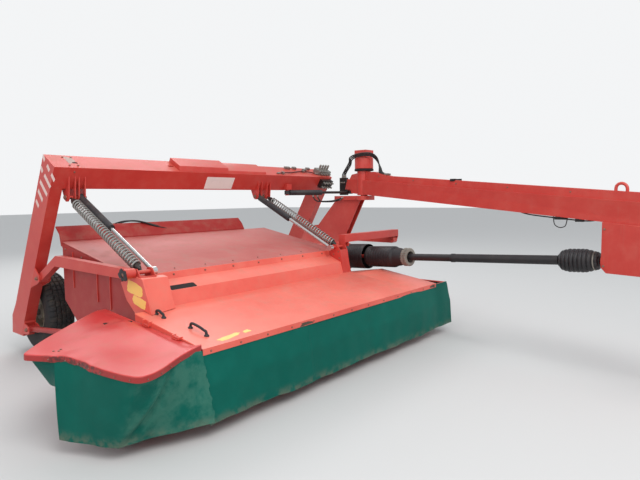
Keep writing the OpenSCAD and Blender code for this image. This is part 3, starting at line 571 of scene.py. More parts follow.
def make_stage(settings):
    """Pale floor and backdrop, soft lamps, and the camera at the photograph's place."""
    scene = bpy.context.scene
    scene.view_settings.view_transform = "Standard"
    floor = bpy.data.meshes.new("floor")
    e = 60.0
    floor.from_pydata([(-e, -e, 0), (e, -e, 0), (e, e, 0), (-e, e, 0)], [], [(0, 1, 2, 3)])
    material = bpy.data.materials.new("floor")
    material.use_nodes = True
    inputs = material.node_tree.nodes["Principled BSDF"].inputs
    inputs["Base Color"].default_value = (*settings.floor_colour, 1)
    inputs["Roughness"].default_value = 0.9
    floor.materials.append(material)
    obj = bpy.data.objects.new("floor", floor)
    scene.collection.objects.link(obj)

    world = bpy.data.worlds.new("studio")
    scene.world = world
    world.use_nodes = True
    n = Nodes(world.node_tree)
    world.node_tree.nodes.clear()
    seen = n.add("LightPath").outputs["Is Camera Ray"]
    sky = n.add("Background", {"Color": (0.93, 0.96, 1.0, 1), "Strength": settings.sky})
    wall = n.add("Background", {"Color": (0.9, 0.91, 0.92, 1), "Strength": 1.0})
    mixed = n.add("MixShader", {0: seen, 1: sky.outputs[0], 2: wall.outputs[0]})
    n.add("OutputWorld", {"Surface": mixed.outputs[0]})

    lamps = [
        ("key", (-2.5, -7.0, 9.0), 7.0, 620.0),
        ("fill", (-9.0, -1.0, 5.0), 6.0, 160.0),
        ("back", (3.5, 8.0, 7.0), 6.0, 300.0),
    ]
    for name, at, size, power in lamps:
        light = bpy.data.lights.new(name, "AREA")
        light.shape, light.size, light.energy = "DISK", size, power * settings.lamp
        lamp = bpy.data.objects.new(name, light)
        lamp.location = at
        lamp.rotation_euler = (Vector((0.2, -0.4, 0.6)) - Vector(at)).to_track_quat("-Z", "Y").to_euler()
        scene.collection.objects.link(lamp)

    data = bpy.data.cameras.new("camera")
    data.sensor_width, data.lens = 36.0, settings.lens
    camera = bpy.data.objects.new("camera", data)
    pitch, turn, roll = (math.radians(x) for x in (settings.pitch, settings.turn, settings.roll))
    forward = np.array([math.cos(turn) * math.cos(pitch), math.sin(turn) * math.cos(pitch), -math.sin(pitch)])
    flat = np.array([math.sin(turn), -math.cos(turn), 0.0])
    high = np.cross(flat, forward)
    right = math.cos(roll) * flat + math.sin(roll) * high
    up = -math.sin(roll) * flat + math.cos(roll) * high
    matrix = np.eye(4)
    matrix[:3, 0], matrix[:3, 1], matrix[:3, 2] = right, up, -forward
    matrix[:3, 3] = mm(CAMERA_AT)
    camera.matrix_world = Matrix(matrix.tolist())
    scene.collection.objects.link(camera)
    scene.camera = camera


def make_frame_skins():
    """Rounded skins of the plain steel parts, each in its own paint."""
    rows = [
        ("frame", "red_paint", "red", 7.0, "portal_beam leg_left leg_right"),
        ("frame", "red_paint", "red", 3.0, "beam_cap hangers pivot_console pivot_post"),
        ("frame", "steel", "steel", 3.0, "stub_axles valve_block"),
        ("header", "red_paint", "red", 2.5, "lift_brackets gearbox curtain_rail"),
        # The header's frame, rear rail, swath plates and cutterbar in the darker red: painted shade.
        ("header", "red_paint", "shaded_red", 1.5, "header_frame rear_rail swath_plates cutterbar"),
        ("header", "faded_paint", "canopy", 1.5, "canopy"),
        ("header", "faded_paint", "hood", 1.5, "hood"),
        ("upper_arms", "red_paint", "red", 8.0, "upper_links"),
        # The lower links in the darker red: painted shade.
        ("lower_arms", "red_paint", "shaded_red", 3.0, "lower_links"),
        ("drawbar", "red_paint", "red", 11.0, "drawbar"),
        ("drawbar", "red_paint", "red", 6.0, "drawbar_boss pto_housing stand_tube"),
        ("hitch", "red_paint", "red", 5.0, "hitch_yoke"),
        ("stand", "steel", "steel", 3.0, "stand_leg"),
        ("wheel_left", "rim_steel", "rim", 3.0, "rim_left"),
        ("wheel_right", "rim_steel", "rim", 3.0, "rim_right"),
        ("lift_barrel_left", "black_paint", "black", 3.0, "barrel_left"),
        ("lift_barrel_right", "black_paint", "black", 3.0, "barrel_right"),
        ("lift_rod_left", "steel", "chrome", 2.0, "rod_left"),
        ("lift_rod_right", "steel", "chrome", 2.0, "rod_right"),
        ("swing_barrel", "black_paint", "black", 3.0, "swing_barrel"),
        ("swing_rod", "steel", "oiled", 2.0, "swing_rod"),
        ("rotor", "worn_steel", "worn", 2.0, "conditioner"),
        ("shaft_cross", "steel", "steel", 2.0, "pto_cross"),
    ]
    rows += [(f"disc_{k}", "steel", "worn", 2.0, f"disc_{k}") for k in range(1, 10)]
    for body, slot, material, width, nodes in rows:
        for node in nodes.split():
            dress(node, MAT[material], body, width)


def make_springs():
    """Coil springs: P = C(t) + R (cos wt u + sin wt v), a wire of round section, with closed ends."""
    for side, x in (("left", 140.0), ("right", HOOD_END - 64)):
        low, high = np.array([x, *PIN]), np.array([x, *HANG])
        length = np.linalg.norm(high - low)
        u, v, w = basis(high - low, (1, 0, 0))
        turns, radius, wire = 31, 35.0, 7.0
        t = np.linspace(0, 1, turns * 20 + 1)
        along = 62 + (length - 62 - 92) * t
        a = 2 * math.pi * turns * t
        tight = np.clip(np.minimum(t, 1 - t) * 60, 0.45, 1.0)
        spoke = np.cos(a)[:, None] * u + np.sin(a)[:, None] * v
        line = low + (along[:, None] * w) + radius * tight[:, None] * spoke
        batch = Batch()
        add_tube(batch, line, wire, 10, up=tuple(w))
        coil = batch.make(f"spring_coil_{side}", MAT["spring"], None, "steel")
        ends = Batch()
        plug = [(8, 16), (8, 34), (12, 38), (20, 58), (27, 80), (27, 110), (12, 114)]
        for at, way in ((low, w), (high, -w)):
            add_turned(ends, plug, at, way, 24)
        caps = ends.make(f"spring_plugs_{side}", MAT["oiled"], None, "steel")
        for piece in (coil, caps):
            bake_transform(piece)
        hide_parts(f"spring_{side}")


def make_tyres():
    """Tyres: a turned section whose radius is lowered in the grooves of a zigzag block tread."""
    section = np.array([
        [196, 20], [206, 12], [226, 6], [256, 3], [286, 0], [312, 1], [340, 8], [358, 16], [370, 30], [377, 46],
        [380, 70], [381, 95], [381.5, 120], [381, 145], [380, 170], [377, 194], [370, 210], [358, 224],
        [340, 232], [312, 239], [286, 240], [256, 237], [226, 234], [206, 228], [196, 220],
    ])
    step = arc_length(section)
    s = np.linspace(0, step[-1], 96)
    r, h = np.interp(s, step, section[:, 0]), np.interp(s, step, section[:, 1])
    a = np.linspace(0, 2 * math.pi, 480, endpoint=False)
    across = (h - 120) / 120
    zig = 0.05 * np.abs(((a * 36 / math.pi) % 2) - 1)[:, None]
    groove = np.zeros((len(a), len(s)))
    for middle in (-0.52, -0.17, 0.17, 0.52):
        groove = np.maximum(groove, 1 - np.clip(np.abs(across - middle - zig) / 0.05, 0, 1))
    block = a * 44 / (2 * math.pi)
    slot = (np.abs((block % 1) - 0.5) > 0.36)[:, None] & ((np.abs(across) > 0.55) & (r > 345))[None]
    cut = ((block + 0.5) % 1 > 0.82)[:, None] & ((np.abs(across) < 0.5) & (r > 372))[None]
    depth = 11 * np.clip(groove * 1.6, 0, 1) * (r > 368) + 9.0 * slot + 5.0 * cut
    ribs = 1.2 * np.sin(np.clip((r - 240) / 70, 0, 1) * math.pi * 5) * (r < 312)
    depth = np.minimum(depth, 11) + ribs
    for side, x, body in (("left", WHEEL_X[0], "wheel_left"), ("right", WHEEL_X[1], "wheel_right")):
        radius = np.minimum(r[None] - depth, 380.5)
        points = np.stack([
            np.broadcast_to(x + h, radius.shape),
            AXLE[0] + radius * np.cos(a)[:, None],
            AXLE[1] + radius * np.sin(a)[:, None],
        ], -1)
        tyre = surface(f"tread_{side}", points, MAT["tyre"], body, 30)
        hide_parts(f"tyre_{side}")
        nuts = Batch()
        out = -1 if side == "left" else 1
        for k in range(6):
            b = k * math.pi / 3 + math.pi / 6
            face = x + 120 if side == "left" else x + 132
            at = (face, AXLE[0] + 102 * math.cos(b), AXLE[1] + 102 * math.sin(b))
            add_bolt(nuts, at, (out, 0, 0), 11, True)
        hub = (x + 185 if side == "left" else x + 55, *AXLE)
        add_turned(nuts, [(44, 0), (44, 20), (34, 34), (0, 36)], hub, (-out, 0, 0), 24)
        nuts.make(f"wheel_nuts_{side}", MAT["bolt"], body, "steel")


def side_cover_height(x, y, s):
    """Rise of the cover's sheet over its plane: a bulge, a raised corner, two dents and a ripple.

    z = h(y) g(x) exp(-(x / w(y))^2) + 30 exp(-dc^2) - 7 exp(-d1^2) + 5 exp(-d2^2) + 2 sin(x/95 + 1) sin(y/130)
    """
    rise = np.interp(y, [60, 220, 560, 700, 760, 870, 1000, 1120], [4, 16, 38, 40, 25, 19, 4, 0])
    near = np.interp(-x, [12, 46, 90], [0.0, 0.04, 1.0])
    corner = 30 * np.exp(-(((x + 8) / 60) ** 2) - (y / 60) ** 2)
    one = ((x + 330) / 150) ** 2 + ((y - 330) / 190) ** 2
    two = ((x + 300) / 190) ** 2 + ((y - 700) / 170) ** 2
    inside = np.clip(6 * s * (1 - s), 0, 1)
    ripple = 2.0 * np.sin(x / 95 + 1) * np.sin(y / 130)
    fall = np.exp(-((x / np.interp(y, [600, 800], [320, 140])) ** 2))
    return rise * near * fall + corner + inside * (5 * np.exp(-two) - 7 * np.exp(-one) + ripple)


COVER_FRONT = [
    (-8, 4), (-62, 16), (-140, 0), (-242, -48), (-345, -98), (-430, -121), (-490, -108), (-526, -48), (-551, 28),
    (-574, 110), (-588, 190), (-597, 270), (-612, 352), (-640, 415), (-678, 462), (-725, 515), (-768, 566),
]
COVER_BACK = [
    (-768, 566), (-773, 590), (-742, 628), (-574, 778), (-256, 1018), (-94, 1132), (-60, 1143), (-24, 1143),
]


def make_side_cover():
    """The hinged cover: P(t, s) runs from the hinge line to an S-shaped outline, then down a rim.

    The rim turns round a corner of the given radius; towards the tip it is torn, rusted and bent.
    """
    corner = 7
    front = spline([(*p, 0) for p in COVER_FRONT], 170)
    back = spline([(*p, 0) for p in COVER_BACK], 90)[1:]
    edge = np.concatenate([front, back])[:, :2]
    n = len(edge)
    length = arc_length(edge)
    tip = length[len(front) - 1]
    base = np.stack([np.full(n, -7.0), np.interp(length, [0, tip, length[-1]], [9, 690, 1138])], -1)
    tangent = np.gradient(edge, axis=0)
    tangent /= np.linalg.norm(tangent, axis=1)[:, None]
    outward = np.stack([-tangent[:, 1], tangent[:, 0]], -1)
    inner = edge - corner * outward
    torn = np.clip((length - (tip - 500)) / 80, 0, 1) * np.clip((tip - 90 - length) / 60, 0, 1)
    phase = (length * 0.013 + 0.4 * np.sin(length / 37.0)) % 1
    ragged = np.interp(phase, [0, 0.5, 0.58, 0.66, 0.8, 1], [2, 5, -9, 1, -4, 2])
    rim = 37 + torn * (0.7 * ragged + 4 * np.sin(length / 61.0 + 1))
    s = np.linspace(0, 1, 34)
    flat = base[:, None] + (inner - base)[:, None] * s[None, :, None]
    z = side_cover_height(flat[..., 0], flat[..., 1], s[None])
    z += (torn * 1.8 * np.sin(length / 23.0))[:, None] * s[None] ** 6
    columns = [np.concatenate([flat, z[..., None]], -1)]
    edge_z = z[:, -1]
    for turn in (22.5, 45.0, 67.5, 90.0):
        a = math.radians(turn)
        at = inner + corner * math.sin(a) * outward
        columns.append(np.concatenate([at, (edge_z - corner * (1 - math.cos(a)))[:, None]], -1)[:, None])
    bent = torn * (3 * np.sin(length / 31.0) + 2 * np.sin(length / 9.0))
    for down in (0.33, 0.66, 0.97, 1.0):
        depth = corner + (rim - corner) * down
        side = edge + outward * (bent * down**2 - (5.0 if down == 1.0 else 0.0))[:, None]
        columns.append(np.concatenate([side, (edge_z - depth)[:, None]], -1)[:, None])
    local = np.concatenate(columns, 1)
    points = in_cover(local[..., 0], local[..., 1], local[..., 2])
    across = np.concatenate([
        np.broadcast_to(s - 1, (n, len(s))) * np.linalg.norm(inner - base, axis=1)[:, None],
        np.broadcast_to([3.0, 6.0, 9.0, 11.0, 20.0, 30.0, 40.0, 45.0], (n, 8)),
    ], 1)
    along = np.broadcast_to(length[:, None], across.shape)
    cover = shell("side_cover_sheet", points, 2.5, MAT["cover"], "cover",
                  uv=np.stack([along, across], -1) / 1000)
    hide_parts("side_cover")
    make_cover_fittings(edge, outward)


def make_cover_fittings(edge, outward):
    """The cover's hinges, bolts, rivets along its rim, and dark films of painted shade in its holes."""
    hinge = Batch()
    axis = in_cover(0, 1) - in_cover(0, 0)
    for y in (220, 560):
        low = in_cover(-14, y, 12)
        for part in range(3):
            knuckle = [(6, 0), (8.4, 0.6), (8.4, 18.6), (6, 19.2)]
            add_turned(hinge, knuckle, low + axis * 20 * part, axis, 20)
        add_turned(hinge, [(0, -13), (5.4, -12), (5.4, 72), (0, 73)], low, axis, 16)
        add_box(hinge, in_cover(-20, y + 30, 5), (20, 56, 6), [(1, 0, 0), axis, np.cross((1, 0, 0), axis)])
    hinge.make("cover_hinges", MAT["red"], "cover", "red_paint")

    trim = Batch()
    for x, y in ((-620, 505), (-600, 524), (-642, 520)):
        at = in_cover(x, y, side_cover_height(x, y, 0.7) - 1)
        add_bolt(trim, at, in_cover(0, 0, 1) - in_cover(0, 0, 0), 6.5)
    for k in range(10, 166, 13):
        way = np.append(outward[k], 0)
        add_bolt(trim, in_cover(*edge[k], -22) + way * 0.2, way, 4.2)
    trim.make("cover_rivets", MAT["bolt"], "cover", "steel")

    # Dark films where the cover has holes and torn slits: painted shade.
    marks = Batch()
    at = in_cover(-62, 728, side_cover_height(-62.0, 728.0, 0.08) + 0.3)
    add_patch(marks, at, in_cover(-62, 700, 60) - in_cover(-90, 728, 60), axis, rounded(50, 34, 14))
    at = in_cover(-188, 790, side_cover_height(-188.0, 790.0, 0.3) + 0.2)
    add_patch(marks, at, (1, 0.1, 0), axis, blot(44, 40, 3))
    add_patch(marks, in_cover(-452, -82, -37.5), (1, 0.3, 0), (-0.3, 1, 0.08), rounded(46, 20, 4))
    marks.make("cover_hole_shade", MAT["dark"], "cover", "black_plastic")


def rounded(length, width, radius):
    """Outline of a rounded rectangle round the origin."""
    steps = 5
    a = np.concatenate([np.linspace(k, k + math.pi / 2, steps) for k in np.arange(4) * math.pi / 2])
    sx = np.repeat([1, -1, -1, 1], steps) * (length / 2 - radius)
    sy = np.repeat([1, 1, -1, -1], steps) * (width / 2 - radius)
    return np.stack([sx + radius * np.cos(a), sy + radius * np.sin(a)], -1)


def blot(length, width, seed, steps=40, rough=0.18):
    """An uneven outline for rust and worn film: r(a) = 1 + rough (sin 3a' + sin 7a' / 2 + sin 13a' / 3)."""
    a = np.linspace(0, 2 * math.pi, steps, endpoint=False)
    r = 1 + rough * (np.sin(3 * a + seed) + 0.5 * np.sin(7 * a + 2 * seed) + 0.33 * np.sin(13 * a + seed))
    box = 1 / np.maximum(np.abs(np.cos(a)), np.abs(np.sin(a))) ** 0.7
    return np.stack([length / 2 * np.cos(a) * r * box, width / 2 * np.sin(a) * r * box], -1) * 0.86


def add_patch(batch, at, u, v, outline, thick=0.8):
    """A thin film of an outline, given along u and v, that lies on a face and sinks a little into it."""
    u = np.asarray(u, float) / np.linalg.norm(u)
    v = np.asarray(v, float) - np.dot(v, u) * u
    v /= np.linalg.norm(v)
    n = np.cross(u, v)
    flat = np.asarray(at, float) + outline[:, :1] * u + outline[:, 1:] * v
    batch.add(np.concatenate([flat + thick * n, flat - 0.6 * n]), prism_faces(len(flat)))


def hang_profile(z):
    """How far behind the lip the front curtain hangs at height z."""
    return np.interp(z, [90, 330, 496, 534], [-40, -30, 7, 7])


def make_curtains(settings):
    """Curtains hung as cloth: a grid below each edge, with folds that grow towards the hem."""
    v = np.linspace(0, 1, 26)
    fold = settings.fold_depth * 1000 * v[None] ** 1.3
    make_front_curtain(v, fold)
    make_end_curtain(v, fold)
    v = np.linspace(0, 1, 34)
    make_side_curtain(v)
    make_corner_flap(v)


def make_front_curtain(v, fold):
    """The long curtain under the canopy's lip, with two bulges and a lap."""
    x = np.linspace(-2, 3228, 300)
    hem = 90 + 5 * np.sin(x / 210) + 3 * np.sin(x / 71)
    z = 534 + (hem[:, None] - 534) * v[None]
    wave = 0.5 * np.sin(x / 98 + 0.8 * np.sin(x / 260)) + 0.28 * np.sin(x / 37 + 1.1)
    bulge = 22 * np.exp(-(((x - 2450) / 380) ** 2)) + 10 * np.exp(-(((x - 3100) / 120) ** 2))
    lap = 3.0 * (x < 956)
    y = hang_profile(z) - fold * (0.6 + wave)[:, None]
    y = y - bulge[:, None] * np.sin(math.pi * v[None] ** 0.8) ** 0.8 - lap[:, None]
    points = np.stack([np.broadcast_to(x[:, None], y.shape), y, z], -1)
    front = shell("curtain_front", points[::-1], 3, MAT["cloth_front"], "header", angle=60,
                  uv=np.stack([np.broadcast_to(x[:, None], y.shape), 534 - z], -1)[::-1] / 1000)
    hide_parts("front_curtain")


def make_end_curtain(v, fold):
    """The curtain along the rail at the canopy's inner end."""
    y = np.linspace(-36, 900, 70)
    top = np.interp(y, [10, 900], [514, 534])
    low = np.interp(y, [-40, 900], [94, 152]) + 4 * np.sin(y / 90)
    z = top[:, None] + (low - top)[:, None] * v[None]
    lean = np.interp(z, [90, 330, 516], [-4, 6, 44]) * np.clip(1 - (y[:, None] + 36) / 220, 0, 1)
    wave = 0.6 + 0.5 * np.sin(y / 60) + 0.3 * np.sin(y / 23)
    x = 3238.5 + fold * 0.7 * wave[:, None]
    points = np.stack([x, y[:, None] + lean, z], -1)
    end = shell("curtain_end", points[::-1], 3, MAT["cloth"], "header", angle=60)
    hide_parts("end_curtain")


SIDE_TOP = (
    [(-662, 464, 0), (-634, 420, 0), (-603, 352, 0), (-587, 270, 0), (-578, 190, 0), (-563, 110, 0),
     (-541, 30, 0), (-516, -45, 0), (-480, -97, 0)],
    [(-480, -97, 0), (-430, -110, 0), (-345, -87, 0), (-242, -37, 0), (-140, 12, 0), (-64, 22, 0), (-6, 2, 0)],
)
SIDE_LOW = (
    [(-652, 466, 96), (-628, 400, 92), (-592, 330, 90), (-545, 225, 88), (-491, 124, 86)],
    [(-491, 124, 86), (-405, 96, 92), (-319, 74, 96), (-151, 6, 98), (-40, -44, 102), (26, -68, 106)],
)


def make_side_curtain(v):
    """The curtain under the cover's rim, with a crease and a ridge that run down across it."""
    half = 70
    top, low = (
        np.concatenate([spline(rear, half), spline(fore, half + 1)[1:]]) for rear, fore in (SIDE_TOP, SIDE_LOW)
    )
    top = in_cover(top[:, 0], top[:, 1], -9.0)
    u = np.linspace(0, 1, len(top))
    points = top[:, None] + (low - top)[:, None] * v[None, :, None]
    hang = np.sin(math.pi * v)[None] * 14
    out = np.gradient(points, axis=0)
    out = np.stack([out[..., 1], -out[..., 0], np.zeros(out.shape[:2])], -1)
    out /= np.linalg.norm(out, axis=2)[..., None]
    out = np.where(out[..., 1:2] > 0.35, -out, out)
    middle = 0.505 + 0.25 * (1 - v[None]) ** 1.1
    u = u[:, None]
    crease = np.exp(-(((u - middle - 0.03) / 0.032) ** 2)) * np.sin(math.pi * v**0.9)[None] ** 0.7
    ridge = np.exp(-(((u - middle + 0.03) / 0.03) ** 2)) * np.sin(math.pi * v)[None] ** 0.7
    slack = 0.5 * np.sin(u * 17 + 1) + 0.4 * np.sin(u * 31 + 2.2 * v[None])
    move = hang * 0.5 - 34 * crease + 12 * ridge + 6 * slack * v[None]
    points = points + out * move[..., None]
    frayed = 5 * np.sin(v * 31) + 3 * np.sin(v * 67 + 1)
    points[-1, :, 0] += frayed * np.clip(v * 3, 0, 1)
    below = (in_cover(0, 0)[2] - points[..., 2]) / 1000
    uv = np.stack([np.broadcast_to(u * 1.15, points.shape[:2]), below], -1)
    side = shell("curtain_side", points, 3, MAT["cloth_side"], "cover", angle=60, uv=uv)
    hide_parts("side_curtain")


def make_corner_flap(v):
    """The short curtain behind the cover's tip."""
    s = np.linspace(0, 1, 60)
    top = spline([(-656, 458, 0), (-734, 560, 0), (-742, 612, 0), (-600, 738, 0), (-430, 866, 0)], len(s))
    top = in_cover(top[:, 0], top[:, 1], -9.0)
    low = np.stack([-662 + 114 * s, 448 + 573 * s, 381 + 19 * s + 5 * np.sin(s * 19)], -1)
    points = top[:, None] + (low - top)[:, None] * v[None, :, None]
    points[..., 0] += 7 * np.sin(s * 14)[:, None] * v[None]
    # In the darker cloth: painted shade behind the cover's tip.
    flap = shell("curtain_corner", points[::-1], 3, MAT["cloth"], "cover", angle=60)


SHAFT_LEN = float(np.linalg.norm(J_FRONT - J_REAR))
TIP = SHAFT_LEN - 40


def ring(name, profile, material, body, slot, sides=72, dent=None, at=J_REAR, axis=J_FRONT - J_REAR):
    """A turned solid of one closed profile (radius, height); dent(a, h) changes the radius."""
    points = turned(profile, at, axis, sides)
    if dent is not None:
        u, v, w = basis(axis)
        local = points - at
        a = np.arctan2(local @ v, local @ u)
        radial = local - (local @ w)[..., None] * w
        points = points + radial * dent(a, local @ w, np.linalg.norm(radial, axis=2))[..., None]
    return surface(name, points, material, body, 38)


def make_guards():
    """Guards of the drive shaft: turned cups and a ribbed bellows.

    r(z) = envelope(z) - 9 (1 - |sin(pi z / pitch)|)^1.4
    """
    outer = [(30, -430), (116, -430), (136, -420), (142, -404)]
    for z in np.arange(-380, -110, 30):
        outer += [(142, z), (138.5, z + 4), (138.5, z + 9), (142, z + 13)]
    outer += [(142, -96), (141, -84), (137, -80), (134, -86), (134, -400), (118, -418), (30, -418)]
    cup = ring("shaft_cup", outer, MAT["rubber"], "header", "black_plastic")
    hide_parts("pto_shield")

    cone = [(1, 62), (103, 62), (103, -58), (106, -60), (113, -60), (116, -56)]
    for z in np.arange(-20, 270, 36):
        cone += [(116, z), (113.5, z + 3), (113.5, z + 8), (116, z + 11)]
    cone += [(116, 296), (112, 308), (102, 318), (100, 330), (96, 372), (86, 408), (84, 424), (80, 428), (36, 428)]
    cone += [(36.0, 700), (36.0, 1457), (33, 1460), (1, 1460)]
    tube = ring("shaft_guard_rear", cone, MAT["rubber"], "shaft_rear", "black_plastic")
    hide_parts("pto_tube")

    notched = lambda a, h, r: -0.045 * (np.sin(a * 24) > 0.25) * (r > 88)
    collar = [
        (62, 432), (92, 432), (97, 436), (97, 452), (91, 456), (91, 474), (97, 478), (97, 494), (90, 500), (62, 500),
    ]
    ring("shaft_bearing_ring", collar, MAT["pale"], "shaft_rear", "black_plastic", 192, notched)

    sleeve = [
        (36.6, 1000), (39, 1000), (43, 1004), (43, 1040), (40, 1046), (40, TIP - 312), (38, TIP - 300),
        (36.6, TIP - 300),
    ]
    guard = ring("shaft_guard_front", sleeve, MAT["rubber"], "shaft_front", "black_plastic")
    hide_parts("pto_slider")

    z = np.linspace(0, 300, 181)
    env = np.interp(z, [0, 26, 80, 205, 264, 300], [56, 86, 98, 98, 84, 66])
    ribs = env - 9 * (1 - np.abs(np.sin(math.pi * z / (300 / 9)))) ** 1.4
    bellows = [(41, TIP - 322), (54, TIP - 322)] + [(r, TIP - 320 + h) for r, h in zip(ribs, z)]
    bellows += [(60, TIP - 16), (41, TIP - 16)]
    boot = ring("shaft_bellows", bellows, MAT["rubber"], "shaft_front", "black_plastic")
    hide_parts("pto_joint")
    neck = [
        (36, TIP - 40), (70, TIP - 40), (73, TIP - 36), (73, TIP - 18), (68, TIP - 12), (44, TIP - 10),
        (40, TIP - 1), (36, TIP - 1),
    ]
    toothed = lambda a, h, r: -0.05 * (np.sin(a * 12) > 0.5) * (r > 66)
    ring("shaft_front_ring", neck, MAT["rubber"], "shaft_front", "black_plastic", 144, toothed)
    clip = [(70, TIP - 44), (77, TIP - 44), (78, TIP - 42), (78, TIP - 37), (77, TIP - 35), (70, TIP - 35)]
    ring("shaft_front_clip", clip, MAT["pale"], "shaft_front", "black_plastic")


def bend_line(name, points, diameter, body, length_points=48, blend=None, material="hose"):
    """A hose as a round tube along a smooth line."""
    line = spline(points, length_points)
    batch = Batch()
    add_tube(batch, line, diameter / 2, 12)
    hose = batch.make(name, MAT[material], None if blend else body, "black_plastic", angle=60)
    if blend:
        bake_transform(hose)
    return line


def make_hoses():
    """Hoses and the light cable, each from one fitting to the next, with crimped ends, and the bar's eye."""
    ends = {"frame": Batch(), "drawbar": Batch(), "header": Batch(), "swing_barrel": Batch()}
    lines = []
    for k in range(3):
        out, high = 9 * k, 15 * k
        points = [
            (3575 + 8 * k, 1618 + 30 * k, 1706), (3572 + 6 * k, 1606 + 28 * k, 1762),
            (3530, 1500 + 14 * k, 1858 + high), (3420 - out, 1400 + out, 1912 + high),
            (3352 - out, 1284, 1938 + high), (3380 - out, 1186 - out, 1954 + high),
            (3450 - out, 1122 - out, 1946 + high), (3496 - out, 1076 - out, 1892 + high),
            (3512 - 16 * k, 1030, 1806 + 8 * k),
            on_bar(310, 28 - 24 * k, 112), on_bar(360, 26 - 24 * k, 97), on_bar(430, 26 - 24 * k, 92),
        ]
        line = bend_line(f"tower_hose_{k + 1}", points, 16, None, 90,
                         ("frame", "drawbar", (3500, 1470, 1900), (3500, 1130, 1900)))
        lines.append((line, "frame", "drawbar", 16))
    along = np.array([0.9145, -0.4047, 0.0])
    for k in range(2):
        port = np.array([2760.0, 1900.0, 1484.0]) + along * (350 + 62 * k)
        bend = 84
        quarter = [
            port + along * bend * (1 - math.cos(q)) - (0, 0, (bend + 6 * k) * math.sin(q))
            for q in (0, 0.39, 0.79, 1.18, 1.57)
        ]
        points = quarter + [
            (3310, 1640, 1404 - 10 * k), (3390, 1588 + 24 * k, 1426 - 20 * k), (3440, 1560 + 30 * k, 1446 - 24 * k),
        ]
        line = bend_line(f"swing_hose_{k + 1}", points, 16, None, 60,
                         ("swing_barrel", "frame", quarter[1], (3300, 1640, 1412)))
        lines.append((line, "swing_barrel", "frame", 16))
    red = [on_portal(*at) for at in ((2580, 40, 12), (2700, 44, 20), (2860, 74, 13), (3040, 112, 12),
                                     (3190, 96, 16), (3300, 60, 15))]
    lines.append((bend_line("beam_hose", red, 14, "frame", material="red_hose"), "frame", "frame", 14))
    for k in range(2):
        points = [
            (640 + 30 * k, 2196, 1212), (760 + 30 * k, 2176 - 14 * k, 1240), (900, 2150 - 18 * k, 1232),
            (1050, 2118 - 18 * k, 1190 - 10 * k), (1190 + 20 * k, 2098 - 12 * k, 1140),
            (1290 + 24 * k, 2086, 1114),
        ]
        line = bend_line(f"rail_hose_{k + 1}", points, 15, "header")
        lines.append((line, "header", "header", 15))
    a = np.linspace(0, math.pi, 7)
    arch = [on_bar(3092 - 42 * math.cos(k), -22, 92 + 40 * math.sin(k)) for k in a]
    loop = [on_bar(3050, -22, 70), *arch, on_bar(3134, -22, 70)]
    eye = Batch()
    add_tube(eye, spline(loop, 48), 12, 16, up=(math.cos(YAW), -math.sin(YAW), 0))
    eye.make("bar_lifting_eye", MAT["red"], "drawbar", "red_paint", angle=60)
    cable = [on_bar(2566, -62, -174), on_bar(2568, -64, -192)]
    cable += [on_bar(2628 - 58 * math.cos(k), -66, -212 - 52 * math.sin(k)) for k in a[1:-1]]
    cable += [on_bar(2688, -64, -192), on_bar(2690, -62, -174)]
    bend_line("bar_cable", cable, 8, "drawbar", 40)
    pipe = [on_bar(s, -40, up) for s, up in (
        (2210, -166), (2270, -180), (2360, -188), (2600, -190), (2800, -188), (2880, -180), (2930, -166))]
    bend_line("bar_pipe", pipe, 11, "drawbar", 50)
    for line, first, last, size in lines:
        for body, at, way in ((first, line[0], line[1] - line[0]), (last, line[-1], line[-2] - line[-1])):
            r = size / 2
            sleeve = [
                (r * 0.7, -26), (r * 0.95, -25), (r * 0.95, -2), (r + 1.5, 0), (r + 3, 2), (r + 3, 8),
                (r + 2.2, 10), (r + 3, 12), (r + 3, 26), (r + 1.2, 29),
            ]
            add_turned(ends[body], sleeve, at, way, 20)
            add_turned(ends[body], [(r + 4, -18), (r + 4, -6)], at, way, 6)
    for body, batch in ends.items():
        batch.make(f"hose_ends_{body}", MAT["steel"], body, "steel")


def make_fittings(settings):
    """Bolts, rivets, pin heads, clamps and plates that hold the machine together."""
    make_header_bolts(settings.rivet_pitch * 1000)
    make_pin_heads()
    make_drawbar_bolts()
    make_frame_bolts()
    make_clamps()
    make_bar_trim()


def make_header_bolts(pitch):
    """Rivets along the lip and the ledge, bolts of the brackets and the gearbox, and the wall's ribs."""
    header = Batch()
    for x in np.arange(60, CANOPY_LEN - 20, pitch):
        add_bolt(header, (x, -0.5, 524), (0, -1, 0), 6)
    for x in np.arange(150, HOOD_END - 30, pitch * 1.25):
        add_bolt(header, (x, 935, 866), (0, -0.96, 0.27), 7)
        add_bolt(header, (x + 60, 1010, canopy_z(1010) + 0.5), (0, -0.18, 0.98), 6)
    for y in (1100, 1400, 1700, 1980):
        add_bolt(header, (99.5, y, canopy_z(y) - 48), (-1, 0, 0), 8)
    for x in (196, 2372, 2492):
        for y, z in ((800, 815), (812, 880), (872, 850)):
            add_bolt(header, (x - 0.5 if x < 1000 else x, y, z), (-1, 0, 0), 7)
    for k in range(8):
        a = 2 * math.pi * k / 8
        add_bolt(header, (2519.5, 1365 + 118 * math.cos(a), 735 + 118 * math.sin(a)), (-1, 0, 0), 9)
    header.make("header_bolts", MAT["bolt"], "header", "steel")
    ribs = Batch()
    for y in (1250, 1450, 1850):
        add_box(ribs, (96, y, canopy_z(y) - 190), (9, 7, 300))
    ribs.make("wall_ribs", MAT["red"], "header", "red_paint")


